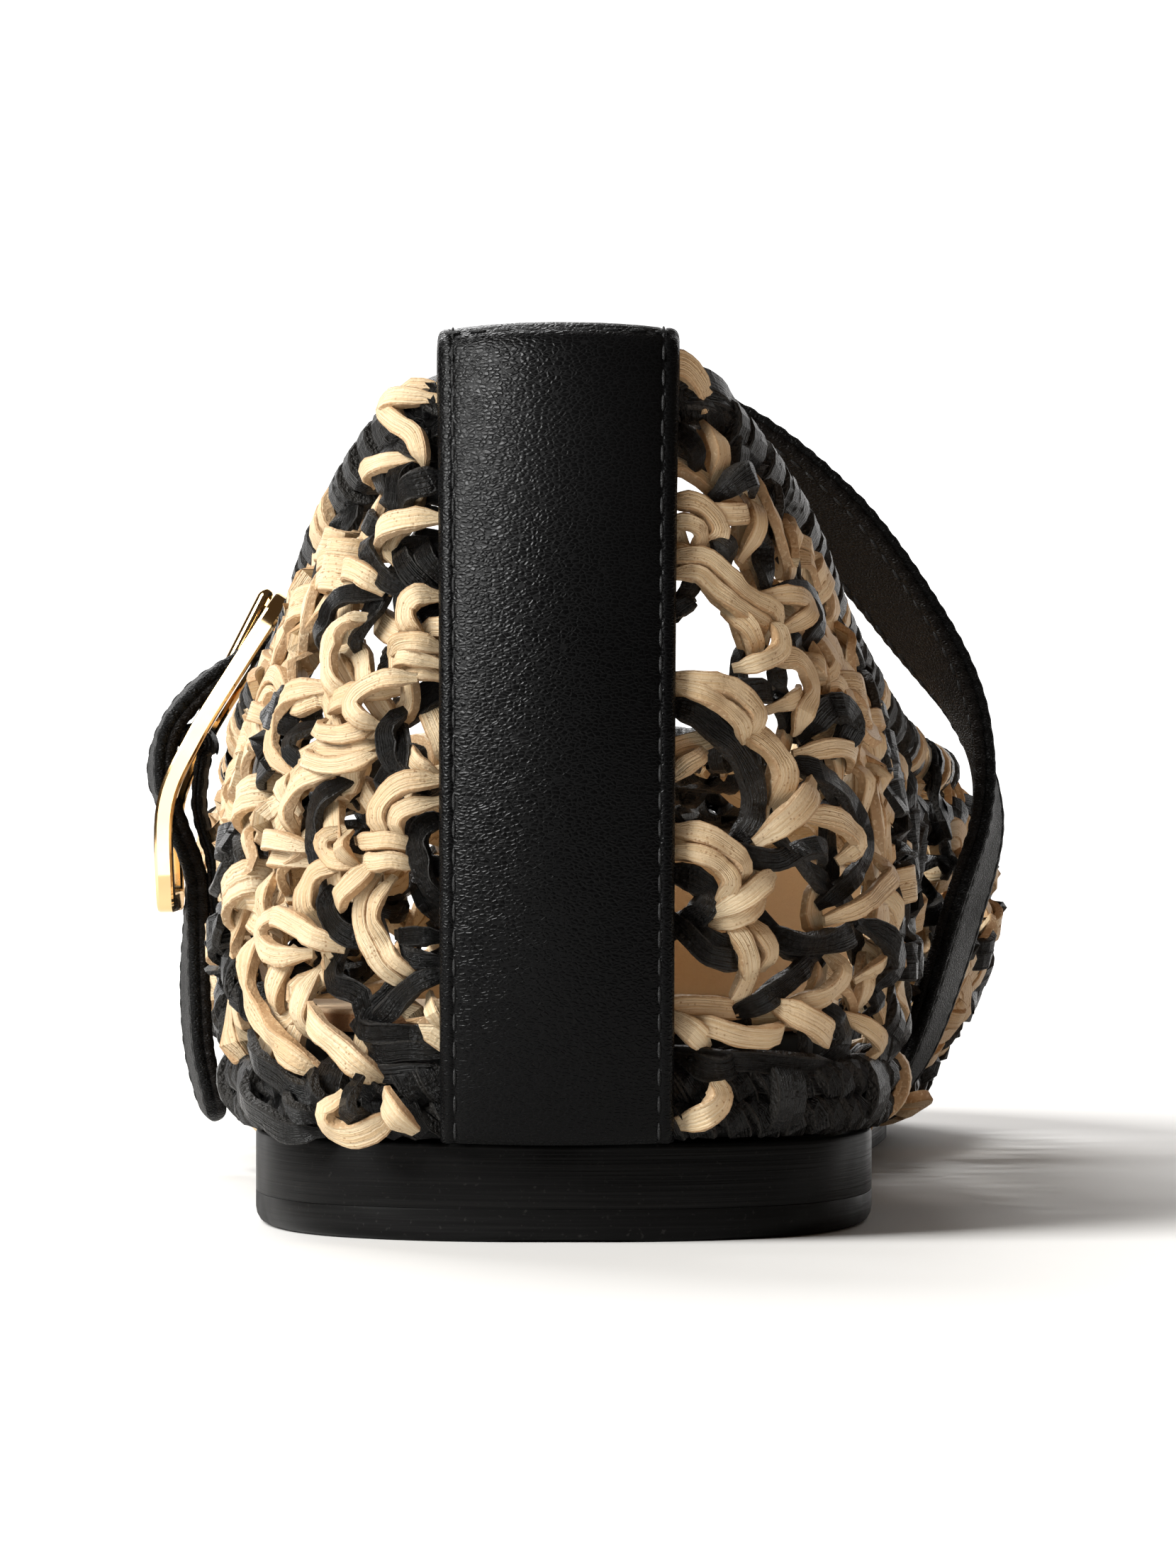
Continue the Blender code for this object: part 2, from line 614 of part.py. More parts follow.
def back_strip(upper):
    """The strip of leather up the heel, folded over the topline and ending inside."""
    half = STRIP_LEATHER / 2
    outside = CROWN + CLEARANCE + half
    inside = -(WALL + STRIP_INSIDE_ROOM + half)
    radius = (outside - inside) / 2
    route = [(v, 0.0, outside, 0.0, 1.0) for v in np.linspace(STRIP_FOOT, 1, STRIP_LEVELS)]
    for angle in np.linspace(0, math.pi, STRIP_FOLD_STEPS + 1):
        rise, lift = math.sin(angle), math.cos(angle)
        route.append((1.0, STRIP_FOLD_BASE + radius * rise, inside + radius + radius * lift, rise, lift))
    route += [(v, 0.0, inside, 0.0, -1.0) for v in np.linspace(1, STRIP_INSIDE_END, STRIP_LEVELS)]
    columns = np.linspace(-STRIP_WIDTH / 2, STRIP_WIDTH / 2, STRIP_COLUMNS)
    front = np.empty((len(route), STRIP_COLUMNS, 3))
    back = np.empty_like(front)
    for k, (v, rise, lift, face_rise, face_lift) in enumerate(route):
        for m, out in enumerate(columns):
            u = upper.heel_u(out, v)
            up = upper.point(u, 1.0) - upper.point(u, STRIP_RISE_FROM)
            up = up / np.linalg.norm(up)
            drop = STRIP_CORNER_DROP * (2 * out / STRIP_WIDTH) ** 2 * (rise > 0)
            front[k, m] = upper.point(u, v, lift + face_lift * half) + up * (rise - drop + face_rise * half)
            back[k, m] = upper.point(u, v, lift - face_lift * half) + up * (rise - drop - face_rise * half)
    return ribbon(front, back)


class Buckle:
    """The bent face of the buckle and places on it and off it."""

    def __init__(self):
        points = [(row.out, BUCKLE_ALONG, row.up) for row in FRAME_FACE]
        self.line = through_points(points, FACE_STEPS)
        steps = np.linalg.norm(np.diff(self.line, axis=0), axis=1)
        self.run = np.concatenate([[0.0], np.cumsum(steps)])
        self.length = self.run[-1]

    def at(self, share, off=0.0, along=0.0):
        """A place at a share of the way down the face, off it outwards and along the shoe."""
        s = share * self.length
        inside = np.clip(s, 0, self.length)
        here = np.array([np.interp(inside, self.run, self.line[:, axis]) for axis in range(3)])
        ahead = np.clip(inside + FACE_REACH, 2 * FACE_REACH, self.length)
        behind = ahead - 2 * FACE_REACH
        front = [np.interp(ahead, self.run, self.line[:, axis]) for axis in range(3)]
        back = [np.interp(behind, self.run, self.line[:, axis]) for axis in range(3)]
        run = np.array(front) - np.array(back)
        run /= np.linalg.norm(run)
        outward = np.array([run[2], 0.0, -run[0]])
        return here + run * (s - inside) + outward * off + np.array([0.0, along, 0.0])

    def frame(self):
        """The frame: two side bars and three cross bars as one plate with two windows."""
        end = END_BAR_HALF / self.length
        middle = MIDDLE_BAR_HALF / self.length
        low, high = MIDDLE_BAR_SHARE - middle, MIDDLE_BAR_SHARE + middle
        upper_window = np.linspace(end, low, WINDOW_STEPS).tolist()
        lower_window = np.linspace(high, 1 - end, WINDOW_STEPS).tolist()
        shares = [-end, *upper_window, *lower_window, 1 + end]
        opening = STRAP_WIDTH / 2 + FRAME_SIDE_GAP
        sides = [-opening - FRAME_SIDE_BAR, -opening, opening, opening + FRAME_SIDE_BAR]
        windows = {(k, 1) for k in range(1, 2 * WINDOW_STEPS) if k != WINDOW_STEPS}
        shell = Shell()
        layers = []
        for off in (BAR_THICKNESS / 2, -BAR_THICKNESS / 2):
            layers.append([[shell.add(self.at(share, off, side)) for side in sides] for share in shares])
        top, bottom = layers
        solid = {(k, m) for k in range(len(shares) - 1) for m in range(3)} - windows
        for k, m in sorted(solid):
            corners = [(k, m), (k, m + 1), (k + 1, m + 1), (k + 1, m)]
            shell.faces.append(tuple(top[a][b] for a, b in corners))
            shell.faces.append(tuple(bottom[a][b] for a, b in reversed(corners)))
            beyond = [(k - 1, m), (k, m + 1), (k + 1, m), (k, m - 1)]
            for (a, b), (c, d), other in zip(corners, corners[1:] + corners[:1], beyond):
                if other not in solid:
                    shell.faces.append((top[c][d], top[a][b], bottom[a][b], bottom[c][d]))
        return shell

    def prong_line(self):
        """The two ends of the prong: its tip over the upper bar and its root by the middle bar."""
        tip = self.at(PRONG_TIP_SHARE, BAR_THICKNESS / 2 + CLEARANCE + PRONG_RADIUS)
        root_gap = TAB_LOOP_RADIUS + TAB_THICKNESS / 2 + CLEARANCE + PRONG_RADIUS / 2
        root = self.at(MIDDLE_BAR_SHARE - root_gap / self.length, PRONG_ROOT_OFF)
        return tip, root


def rod(start, end, radius, sides):
    """A straight round rod."""
    shell = Shell()
    run = (end - start) / np.linalg.norm(end - start)
    across = np.array([0.0, 1.0, 0.0])
    over = np.cross(run, across)
    rings = []
    for place in (start, end):
        turn = [2 * math.pi * k / sides for k in range(sides)]
        rings.append([shell.add(place + radius * (math.cos(a) * across + math.sin(a) * over)) for a in turn])
    for k in range(sides):
        following = (k + 1) % sides
        shell.faces.append((rings[0][k], rings[0][following], rings[1][following], rings[1][k]))
    shell.faces.append(tuple(reversed(rings[0])))
    shell.faces.append(tuple(rings[1]))
    return shell


def band(points, width, thickness, round_end=False):
    """A flat band along a route of places, tilts and splays, lying with its width along the shoe."""
    route = through_points(points, STRAP_STEPS)
    line, tilt, splay = route[:, :3], np.radians(route[:, 3]), np.radians(route[:, 4])
    run = np.gradient(line, axis=0)
    run /= np.linalg.norm(run, axis=1, keepdims=True)
    wide = np.column_stack([np.sin(splay), np.cos(splay) * np.cos(tilt), -np.sin(tilt)])
    wide = wide - run * (run * wide).sum(axis=1)[:, None]
    wide /= np.linalg.norm(wide, axis=1, keepdims=True)
    face = np.cross(wide, run)
    share = np.ones(len(line))
    if round_end:
        share[-len(TIP_SHARES) :] = TIP_SHARES
    half = wide * (width / 2 * share)[:, None]
    grids = []
    for side in (0.5, -0.5):
        middle = line + face * thickness * side
        grids.append(np.stack([middle - half, middle + half], axis=1))
    return ribbon(*grids)


def make(name, shell, root):
    """A closed mesh object with its own material."""
    mesh = bpy.data.meshes.new(name)
    mesh.from_pydata([tuple(point * MM) for point in shell.points], [], shell.faces)
    work = bmesh.new()
    work.from_mesh(mesh)
    bmesh.ops.triangulate(work, faces=work.faces[:])
    bmesh.ops.recalc_face_normals(work, faces=work.faces[:])
    work.to_mesh(mesh)
    work.free()
    finish = FINISHES[name]
    material = bpy.data.materials.new(name)
    material.use_nodes = True
    shader = material.node_tree.nodes["Principled BSDF"]
    shader.inputs["Base Color"].default_value = (*finish.colour, 1.0)
    shader.inputs["Roughness"].default_value = finish.roughness
    shader.inputs["Metallic"].default_value = finish.metallic
    mesh.materials.append(material)
    made = bpy.data.objects.new(name, mesh)
    bpy.context.scene.collection.objects.link(made)
    made.parent = root
    return made


def cut_prong_hole(strap, buckle, root):
    """A hole through the strap where the prong passes."""
    tip, foot = buckle.prong_line()
    shell = rod(tip, foot, PRONG_RADIUS + CLEARANCE, PRONG_SIDES)
    mesh = bpy.data.meshes.new("prong_hole")
    mesh.from_pydata([tuple(point * MM) for point in shell.points], [], shell.faces)
    cutter = bpy.data.objects.new("prong_hole", mesh)
    bpy.context.scene.collection.objects.link(cutter)
    cutter.parent = root
    cutter.hide_render = True
    cutter.display_type = "WIRE"
    cut = strap.modifiers.new("prong hole", "BOOLEAN")
    cut.operation = "DIFFERENCE"
    cut.solver = "EXACT"
    cut.object = cutter


def main():
    for old in list(bpy.data.objects):
        bpy.data.objects.remove(old, do_unlink=True)
    root = bpy.data.objects.new("shoe", None)
    bpy.context.scene.collection.objects.link(root)

    upper = Upper()
    buckle = Buckle()
    strap_route = [row[1:] for row in STRAP_ROUTE]
    strap_route += [(*buckle.at(row.share, row.off), 0.0, 0.0) for row in STRAP_THREAD]
    strap_route += [row[1:] for row in STRAP_END]
    tab_route = [row[1:] for row in TAB_ROUTE]
    tab_route += [(*buckle.at(row.share, row.off), 0.0, 0.0) for row in TAB_THREAD]
    for angle in TAB_LOOP_ANGLES:
        turn = math.radians(angle)
        share = MIDDLE_BAR_SHARE + TAB_LOOP_RADIUS * math.cos(turn) / buckle.length
        tab_route.append((*buckle.at(share, TAB_LOOP_RADIUS * math.sin(turn)), 0.0, 0.0))

    shells = {
        "outsole": sole_layer(
            upper,
            OUTSOLE_MARGIN,
            lambda along: sole_seat(along) - CLEARANCE,
            outsole_bottom,
            extra=(HEEL_BREAST, HEEL_BREAST + BREAST_SLOPE),
            bottom_inset=SOLE_EDGE_ROUND,
        ),
        "heel_lift": sole_layer(
            upper,
            OUTSOLE_MARGIN,
            lambda along: np.full(len(along), LIFT_THICKNESS),
            lambda along: np.zeros(len(along)),
            end=HEEL_BREAST,
            bottom_inset=SOLE_EDGE_ROUND,
        ),
        "midsole": sole_layer(
            upper, INSIDE_MARGIN, lambda along: footbed(along) - INSOLE_THICKNESS - CLEARANCE, sole_seat
        ),
        "insole": sole_layer(upper, INSIDE_MARGIN, footbed, lambda along: footbed(along) - INSOLE_THICKNESS),
        "upper": net_upper(upper),
        "back_strip": back_strip(upper),
        "instep_strap": band(strap_route, STRAP_WIDTH, STRAP_THICKNESS, round_end=True),
        "strap_tab": band(tab_route, TAB_WIDTH, TAB_THICKNESS),
        "buckle_frame": buckle.frame(),
        "buckle_prong": rod(*buckle.prong_line(), PRONG_RADIUS, PRONG_SIDES),
    }
    made = {name: make(name, shell, root) for name, shell in shells.items()}
    cut_prong_hole(made["instep_strap"], buckle, root)

    every = np.vstack([shell.points for shell in shells.values()])
    low, high = every.min(axis=0), every.max(axis=0)
    root.location = (-(low[0] + high[0]) / 2 * MM, -(low[1] + high[1]) / 2 * MM, -low[2] * MM)


if __name__ == "__main__":
    main()
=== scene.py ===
import math

import bpy
import numpy as np
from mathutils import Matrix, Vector


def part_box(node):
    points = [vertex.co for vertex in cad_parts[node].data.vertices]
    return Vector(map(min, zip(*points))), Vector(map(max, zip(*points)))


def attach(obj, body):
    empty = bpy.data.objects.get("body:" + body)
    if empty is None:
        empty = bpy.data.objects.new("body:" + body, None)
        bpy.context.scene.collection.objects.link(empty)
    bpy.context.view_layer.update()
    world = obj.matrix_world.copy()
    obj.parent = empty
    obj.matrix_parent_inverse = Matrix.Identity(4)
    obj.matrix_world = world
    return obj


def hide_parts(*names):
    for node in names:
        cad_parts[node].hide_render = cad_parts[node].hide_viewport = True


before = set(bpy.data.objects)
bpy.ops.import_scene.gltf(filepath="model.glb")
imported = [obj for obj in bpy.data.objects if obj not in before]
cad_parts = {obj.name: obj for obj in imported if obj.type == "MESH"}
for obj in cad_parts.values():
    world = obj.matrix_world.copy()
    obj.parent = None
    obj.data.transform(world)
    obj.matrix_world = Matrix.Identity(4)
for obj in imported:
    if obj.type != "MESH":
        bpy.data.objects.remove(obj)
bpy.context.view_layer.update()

mm = 0.001
print("frame loaded with", len(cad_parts), "nodes")

# the shoe's own sizes in millimetres: out to the inner side, along to the toe, up from the floor
shoe = {
    "length": 250.0, "heelSeat": 8.6, "ballSeat": 3.8, "toeSpring": 5.0, "gap": 0.3,
    "liftThick": 2.5, "soleThick": 3.5, "heelBreast": 57.0, "breastSlope": 0.6,
    "heelRunEnd": 60.0, "ballStart": 136.0, "ballEnd": 196.0,
    "outsoleMargin": 0.2, "insideMargin": -2.5,
    "footbedHeel": 19.3, "footbedBall": 8.6, "fallStart": 38.0, "fallEnd": 168.0, "insoleThick": 1.9,
    "wall": 1.9, "crown": 0.7,
}
# ribs round the last from the heel's centre along the inner side to the toe and back along the outer side
# each rib: the sole's edge as out and along, then belly, brow and top as out, along and up
ribs = [
    (0, 1.5, 0, -3.0, 24, 0, 0.5, 50, 0, 8.5, 74),
    (14, 4.5, 16.5, 1.0, 24, 13, 4.0, 50, 9.3, 11, 73.2),
    (23, 14, 28, 11.5, 24, 22.5, 14, 49, 14.5, 17.5, 70.3),
    (27, 32, 34, 30, 23, 27.5, 34, 46, 20, 34, 63),
    (26, 57, 33.5, 56, 22, 30, 60, 43, 24.5, 60, 54),
    (23, 85, 32, 85, 18, 33.5, 90, 39, 30, 90, 46),
    (23.5, 113, 33.5, 112, 14, 38, 116, 37, 34.5, 117, 42.5),
    (29, 142, 42.5, 142, 13, 47, 141, 38, 36, 142, 41),
    (32.5, 170, 45.5, 169, 13, 51, 162, 40, 29, 159, 41.5),
    (33.5, 193, 45, 192, 12, 47, 180, 40, 19, 168.5, 42.5),
    (29.5, 218, 39.5, 221, 12.5, 37, 200, 39, 11, 172, 43),
    (19, 237, 25, 244.5, 13.5, 22, 221, 38, 6, 173.5, 43.3),
    (6, 243, 7, 250.5, 15, 7, 228, 38, 1.5, 174, 43.5),
    (-7.5, 238.5, -11, 246.5, 13.5, -8, 222, 38, -3, 173.5, 43.3),
    (-20.5, 222.5, -29, 227, 12.5, -25, 204, 38, -8, 172, 43),
    (-28.5, 198, -39.5, 200, 12, -38, 186, 39, -15.5, 168.5, 42.5),
    (-31, 172, -43, 172, 12, -45, 165, 39, -25, 160, 41.5),
    (-30, 145, -40, 145, 13, -42, 144, 38, -33, 143, 41),
    (-26.5, 115, -34, 115, 15, -36, 118, 37, -32.5, 118, 42.5),
    (-24.5, 86, -33.5, 86, 19, -34, 91, 39, -30.5, 91, 46),
]
# the heel is the same on both sides
outward = (0, 2, 5, 8)
ribs += [tuple(-size if k in outward else size for k, size in enumerate(rib)) for rib in ribs[4:0:-1]]

# the camera behind the shoe, in the shoe's own sizes
view = {
    "distance": 600.0, "height": 38.6, "out": 6.8, "aimOut": 2.4, "halfWidth": 49.36, "sensor": 36.0,
    "facing": 0.28, "reach": 0.6, "ribsSeen": 6, "gridAcross": 721, "gridUp": 161,
    "smallU": 0.01, "smallV": 0.005, "leastArea": 40.0, "mostU": 0.02, "mostV": 0.01,
}

# the frame's origin is at the middle of the whole shoe, found here from the heel lift's box
liftLow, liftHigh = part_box("heel_lift")
shoeShift = np.array([(liftLow.x + liftHigh.x) / 2, liftHigh.y - shoe["heelBreast"] * mm, 0.0])


def toFrame(points):
    return np.asarray(points, float) * mm + shoeShift


def easeStep(value, start, end):
    share = np.clip((np.asarray(value, float) - start) / (end - start), 0, 1)
    return share * share * (3 - 2 * share)


def unit(vectors):
    vectors = np.asarray(vectors, float)
    return vectors / np.maximum(np.linalg.norm(vectors, axis=-1, keepdims=True), 1e-9)


def throughPoints(points, steps, closed=False):
    points = np.asarray(points, float)
    count = len(points)
    spans = count if closed else count - 1
    position = np.linspace(0, spans, spans * steps + 1)
    start = np.minimum(position.astype(int), spans - 1)
    share = (position - start)[:, None]
    if closed:
        before, here, after, beyond = (points[(start + k) % count] for k in (-1, 0, 1, 2))
    else:
        ends = np.vstack([2 * points[0] - points[1], points, 2 * points[-1] - points[-2]])
        before, here, after, beyond = (ends[start + k] for k in (0, 1, 2, 3))
    return 0.5 * (
        2 * here
        + (after - before) * share
        + (2 * before - 5 * here + 4 * after - beyond) * share**2
        + (3 * here - before - 3 * after + beyond) * share**3
    )


def runLength(points):
    return np.concatenate([[0.0], np.cumsum(np.linalg.norm(np.diff(points, axis=0), axis=1))])


def toeRise(along):
    share = (np.asarray(along, float) - shoe["ballEnd"]) / (shoe["length"] - shoe["ballEnd"])
    return shoe["toeSpring"] * np.clip(share, 0, 1) ** 2


def soleSeat(along):
    fall = easeStep(along, shoe["heelRunEnd"], shoe["ballStart"])
    return shoe["heelSeat"] + (shoe["ballSeat"] - shoe["heelSeat"]) * fall + toeRise(along)


def footbed(along):
    fall = easeStep(along, shoe["fallStart"], shoe["fallEnd"])
    return shoe["footbedHeel"] + (shoe["footbedBall"] - shoe["footbedHeel"]) * fall + toeRise(along)


# the last: a grid of points from the sole's edge (v = 0) to the topline (v = 1), u counted in ribs
lastGrid = {"perRib": 40, "upRib": 80, "heelRibs": 2, "smallV": 0.01}


def makeLast():
    rows = [(out, along, float(soleSeat(along)), *rest) for out, along, *rest in ribs]
    controls = throughPoints(rows, lastGrid["perRib"], closed=True).reshape(-1, 4, 3)
    t = np.linspace(0, 1, lastGrid["upRib"] + 1)[None, :, None]
    base, belly, brow, top = (controls[:, k][:, None, :] for k in range(4))
    curve = (1 - t) ** 3 * base + 3 * (1 - t) ** 2 * t * belly + 3 * (1 - t) * t**2 * brow + t**3 * top
    even = np.empty_like(curve)
    lengths = []
    for k, rib in enumerate(curve):
        run = runLength(rib)
        lengths.append(run[-1])
        for axis in range(3):
            even[k, :, axis] = np.interp(np.linspace(0, run[-1], len(rib)), run, rib[:, axis])
    alongU = np.gradient(even, axis=0)
    alongU[0] = alongU[-1] = even[1] - even[-2]
    lastGrid["points"] = even
    lastGrid["normals"] = unit(np.cross(alongU, np.gradient(even, axis=1)))
    lastGrid["lengths"] = np.array(lengths)


def sampleLast(grid, u, v):
    across = (np.asarray(u, float) % len(ribs)) * lastGrid["perRib"]
    upward = np.clip(np.asarray(v, float), 0, 1) * lastGrid["upRib"]
    i = np.minimum(across.astype(int), len(grid) - 2)
    j = np.minimum(upward.astype(int), lastGrid["upRib"] - 1)
    a, b = (across - i)[..., None], (upward - j)[..., None]
    low = grid[i, j] * (1 - a) + grid[i + 1, j] * a
    high = grid[i, j + 1] * (1 - a) + grid[i + 1, j + 1] * a
    return low * (1 - b) + high * b


def lastNormal(u, v):
    return unit(sampleLast(lastGrid["normals"], u, v))


def lastPoint(u, v, lift=0.0):
    return sampleLast(lastGrid["points"], u, v) + lastNormal(u, v) * np.asarray(lift)[..., None]


def lastUp(u, v):
    small = lastGrid["smallV"]
    return unit(lastPoint(u, v + small) - lastPoint(u, v - small))


def swing(angle, first, second):
    # directions turned by angles from the first towards the second
    return np.cos(angle)[:, None] * first + np.sin(angle)[:, None] * second


def ribLength(u):
    across = (np.asarray(u, float) % len(ribs)) * lastGrid["perRib"]
    return np.interp(across, np.arange(len(lastGrid["lengths"])), lastGrid["lengths"])


def heelU(out, v):
    reach = lastGrid["heelRibs"]
    columns = np.linspace(-reach, reach, 2 * reach * lastGrid["perRib"] + 1)
    across = sampleLast(lastGrid["points"], columns, np.full(len(columns), float(v)))[:, 0]
    return np.interp(out, across, columns)


makeLast()
print("last worked out from", len(ribs), "ribs")


# meshes and node trees
def linkNew(name, data):
    made = bpy.data.objects.new(name, data)
    bpy.context.scene.collection.objects.link(made)
    return made


def storeValues(mesh, name, values, kind="FLOAT", field="value"):
    values = np.asarray(values, np.float32).ravel()
    mesh.attributes.new(name, kind, "POINT").data.foreach_set(field, values)


def newPiece(name, points, faces, material, attributes=None):
    mesh = bpy.data.meshes.new(name)
    mesh.from_pydata([tuple(point) for point in toFrame(points)], [], faces)
    for key, values in (attributes or {}).items():
        storeValues(mesh, key, values)
    mesh.materials.append(material)
    mesh.shade_smooth()
    return linkNew(name, mesh)


def faceOutwards(points, faces):
    # turn the faces round where the closed shape would be inside out
    points = np.asarray(points, float)
    volume = 0.0
    for face in faces:
        for b, c in zip(face[1:], face[2:]):
            volume += points[face[0]] @ np.cross(points[b], points[c])
    return faces if volume > 0 else [tuple(reversed(face)) for face in faces]


def wallFaces(stations, around, closed=False):
    faces = []
    for k in range(stations if closed else stations - 1):
        here, after = k * around, (k + 1) % stations * around
        for m in range(around):
            side = (m + 1) % around
            faces.append((here + m, here + side, after + side, after + m))
    return faces


def sweptSolid(sections, closed=False):
    # sections: stations by points round the section by xyz
    stations, around = sections.shape[:2]
    faces = wallFaces(stations, around, closed)
    if not closed:
        faces.append(tuple(range(around))[::-1])
        faces.append(tuple((stations - 1) * around + m for m in range(around)))
    points = sections.reshape(-1, 3)
    return points, faceOutwards(points, faces)


def slab(front, back):
    # a closed solid between two grids of points
    return sweptSolid(np.concatenate([front, back[:, ::-1]], axis=1))


def keepPiece(piece, slotName, *nodes):
    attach(piece, "root")
    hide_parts(*nodes)
    return piece


def pathObject(paths):
    # paths: lists of (points, faceOut, scale, shade) as loose chains of edges
    points, faceOut, scale, shade = zip(*paths)
    counts = [len(path) for path in points]
    starts = set(np.cumsum(counts).tolist())
    edges = [(k, k + 1) for k in range(sum(counts)) if k + 1 not in starts]
    mesh = bpy.data.meshes.new("paths")
    mesh.from_pydata([tuple(point) for point in toFrame(np.vstack(points))], edges, [])
    storeValues(mesh, "faceOut", np.vstack(faceOut), "FLOAT_VECTOR", "vector")
    storeValues(mesh, "stripScale", np.concatenate(scale))
    storeValues(mesh, "stripShade", np.repeat(shade, counts))
    return linkNew("paths", mesh)


def fromNodes(name, paths, tree, values):
    source = pathObject(paths)
    modifier = source.modifiers.new("nodes", "NODES")
    modifier.node_group = tree
    for item in tree.interface.items_tree:
        if item.in_out == "INPUT" and item.name in values:
            modifier[item.identifier] = values[item.name]
    evaluated = source.evaluated_get(bpy.context.evaluated_depsgraph_get())
    mesh = bpy.data.meshes.new_from_object(evaluated)
    mesh.name = name
    source.modifiers.remove(modifier)
    bpy.data.objects.remove(source, do_unlink=True)
    print(name, "has", len(mesh.polygons), "faces")
    return linkNew(name, mesh)


def sewAlong(name, paths, work):
    return fromNodes(name, paths, trees["stitch"], {
        "Pitch": work["stitchPitch"] * mm, "Length": work["stitchLength"] * mm,
        "Thick": work["stitchThick"] * mm, "Thread": finishes["blackThread"]})


def feed(tree, inputs, feeds):
    for socket, value in feeds.items():
        if isinstance(value, bpy.types.NodeSocket):
            tree.links.new(value, inputs[socket])
        else:
            inputs[socket].default_value = value


def put(tree, kind, feeds=None, **settings):
    made = tree.nodes.new(kind)
    for name, value in settings.items():
        setattr(made, name, value)
    feed(tree, made.inputs, feeds or {})
    return made


def take(tree, kind, output, feeds=None, **settings):
    return put(tree, kind, feeds, **settings).outputs[output]


def newTree(name, kind, inputs, outputs):
    # inputs and outputs: the names and kinds of their sockets
    tree = bpy.data.node_groups.new(name, kind)
    for way, sockets in (("INPUT", inputs), ("OUTPUT", outputs)):
        for key, socketKind in sockets.items():
            tree.interface.new_socket(key, in_out=way, socket_type="NodeSocket" + socketKind)
    return tree, put(tree, "NodeGroupInput").outputs


def maths(tree, operation, first, second=0.0):
    return take(tree, "ShaderNodeMath", 0, {0: first, 1: second}, operation=operation)


def times(tree, first, second):
    return maths(tree, "MULTIPLY", first, second)


def noise(tree, place, scale, detail, output="Fac"):
    return take(tree, "ShaderNodeTexNoise", output, {"Vector": place, "Scale": scale, "Detail": detail})


def namedValue(tree, name, kind="FLOAT"):
    return take(tree, "GeometryNodeInputNamedAttribute", "Attribute", {"Name": name}, data_type=kind)


def change(tree, kind, geometry, feeds=None, **settings):
    # a node that takes in a geometry and gives it back changed
    return take(tree, "GeometryNode" + kind, "Geometry", {"Geometry": geometry, **(feeds or {})}, **settings)


def stored(tree, geometry, name, value):
    feeds = {"Name": name, "Value": value}
    return change(tree, "StoreNamedAttribute", geometry, feeds, data_type="FLOAT", domain="POINT")


# a strip's section, how fine its unevenness is, and the bend from which an edge stays crisp
stripShape = {"corners": 8, "powers": {"X": 0.3, "Y": 0.17}, "uneven": 620.0, "crisp": 0.6}


def stripTree():
    # flat strips with rounded corners along loose paths, lying as the paths' faceOut says
    tree, given = newTree(
        "stripsAlongPaths", "GeometryNodeTree",
        {"Paths": "Geometry", "Width": "Float", "Thick": "Float", "Uneven": "Float", "Leather": "Material"},
        {"Strips": "Geometry"},
    )
    chain = take(tree, "GeometryNodeMeshToCurve", "Curve", {"Mesh": given["Paths"]})
    chain = stored(tree, chain, "alongStrip", take(tree, "GeometryNodeSplineParameter", "Length"))
    facing = {"Curve": chain, "Normal": namedValue(tree, "faceOut", "FLOAT_VECTOR")}
    chain = take(tree, "GeometryNodeSetCurveNormal", "Curve", facing, mode="FREE")

    corners = stripShape["corners"]
    ring = take(tree, "GeometryNodeCurvePrimitiveCircle", "Curve", {"Resolution": corners, "Radius": 1.0})
    ring = change(tree, "Transform", ring, {"Rotation": (0.0, 0.0, math.pi / corners)})
    place = put(tree, "ShaderNodeSeparateXYZ", {"Vector": take(tree, "GeometryNodeInputPosition", 0)}).outputs
    share, reach = {}, {}
    for axis, size in (("X", "Thick"), ("Y", "Width")):
        rounded = maths(tree, "POWER", maths(tree, "ABSOLUTE", place[axis]), stripShape["powers"][axis])
        share[axis] = times(tree, rounded, maths(tree, "SIGN", place[axis]))
        reach[axis] = times(tree, share[axis], times(tree, given[size], 0.5))
    ring = stored(tree, ring, "acrossStrip", share["Y"])
    ring = change(tree, "SetPosition", ring, {"Position": take(tree, "ShaderNodeCombineXYZ", 0, reach)})

    strips = take(tree, "GeometryNodeCurveToMesh", "Mesh", {
        "Curve": chain, "Profile Curve": ring, "Scale": namedValue(tree, "stripScale"), "Fill Caps": True})
    # hand-cut strips are a little uneven
    uneven = noise(tree, take(tree, "GeometryNodeInputPosition", 0), stripShape["uneven"], 2.0)
    push = times(tree, maths(tree, "SUBTRACT", uneven, 0.5), given["Uneven"])
    outward = take(tree, "GeometryNodeInputNormal", 0)
    push = take(tree, "ShaderNodeVectorMath", 0, {"Vector": outward, "Scale": push}, operation="SCALE")
    strips = change(tree, "SetPosition", strips, {"Offset": push})
    # the cut corners of the strips stay crisp
    bend = take(tree, "GeometryNodeInputMeshEdgeAngle", "Unsigned Angle")
    soft = maths(tree, "LESS_THAN", bend, stripShape["crisp"])
    strips = change(tree, "SetShadeSmooth", strips)
    strips = change(tree, "SetShadeSmooth", strips, {"Shade Smooth": soft}, domain="EDGE")
    strips = change(tree, "RealizeInstances", strips)
    strips = change(tree, "SetMaterial", strips, {"Material": given["Leather"]})
    put(tree, "NodeGroupOutput", {"Strips": strips})
    return tree


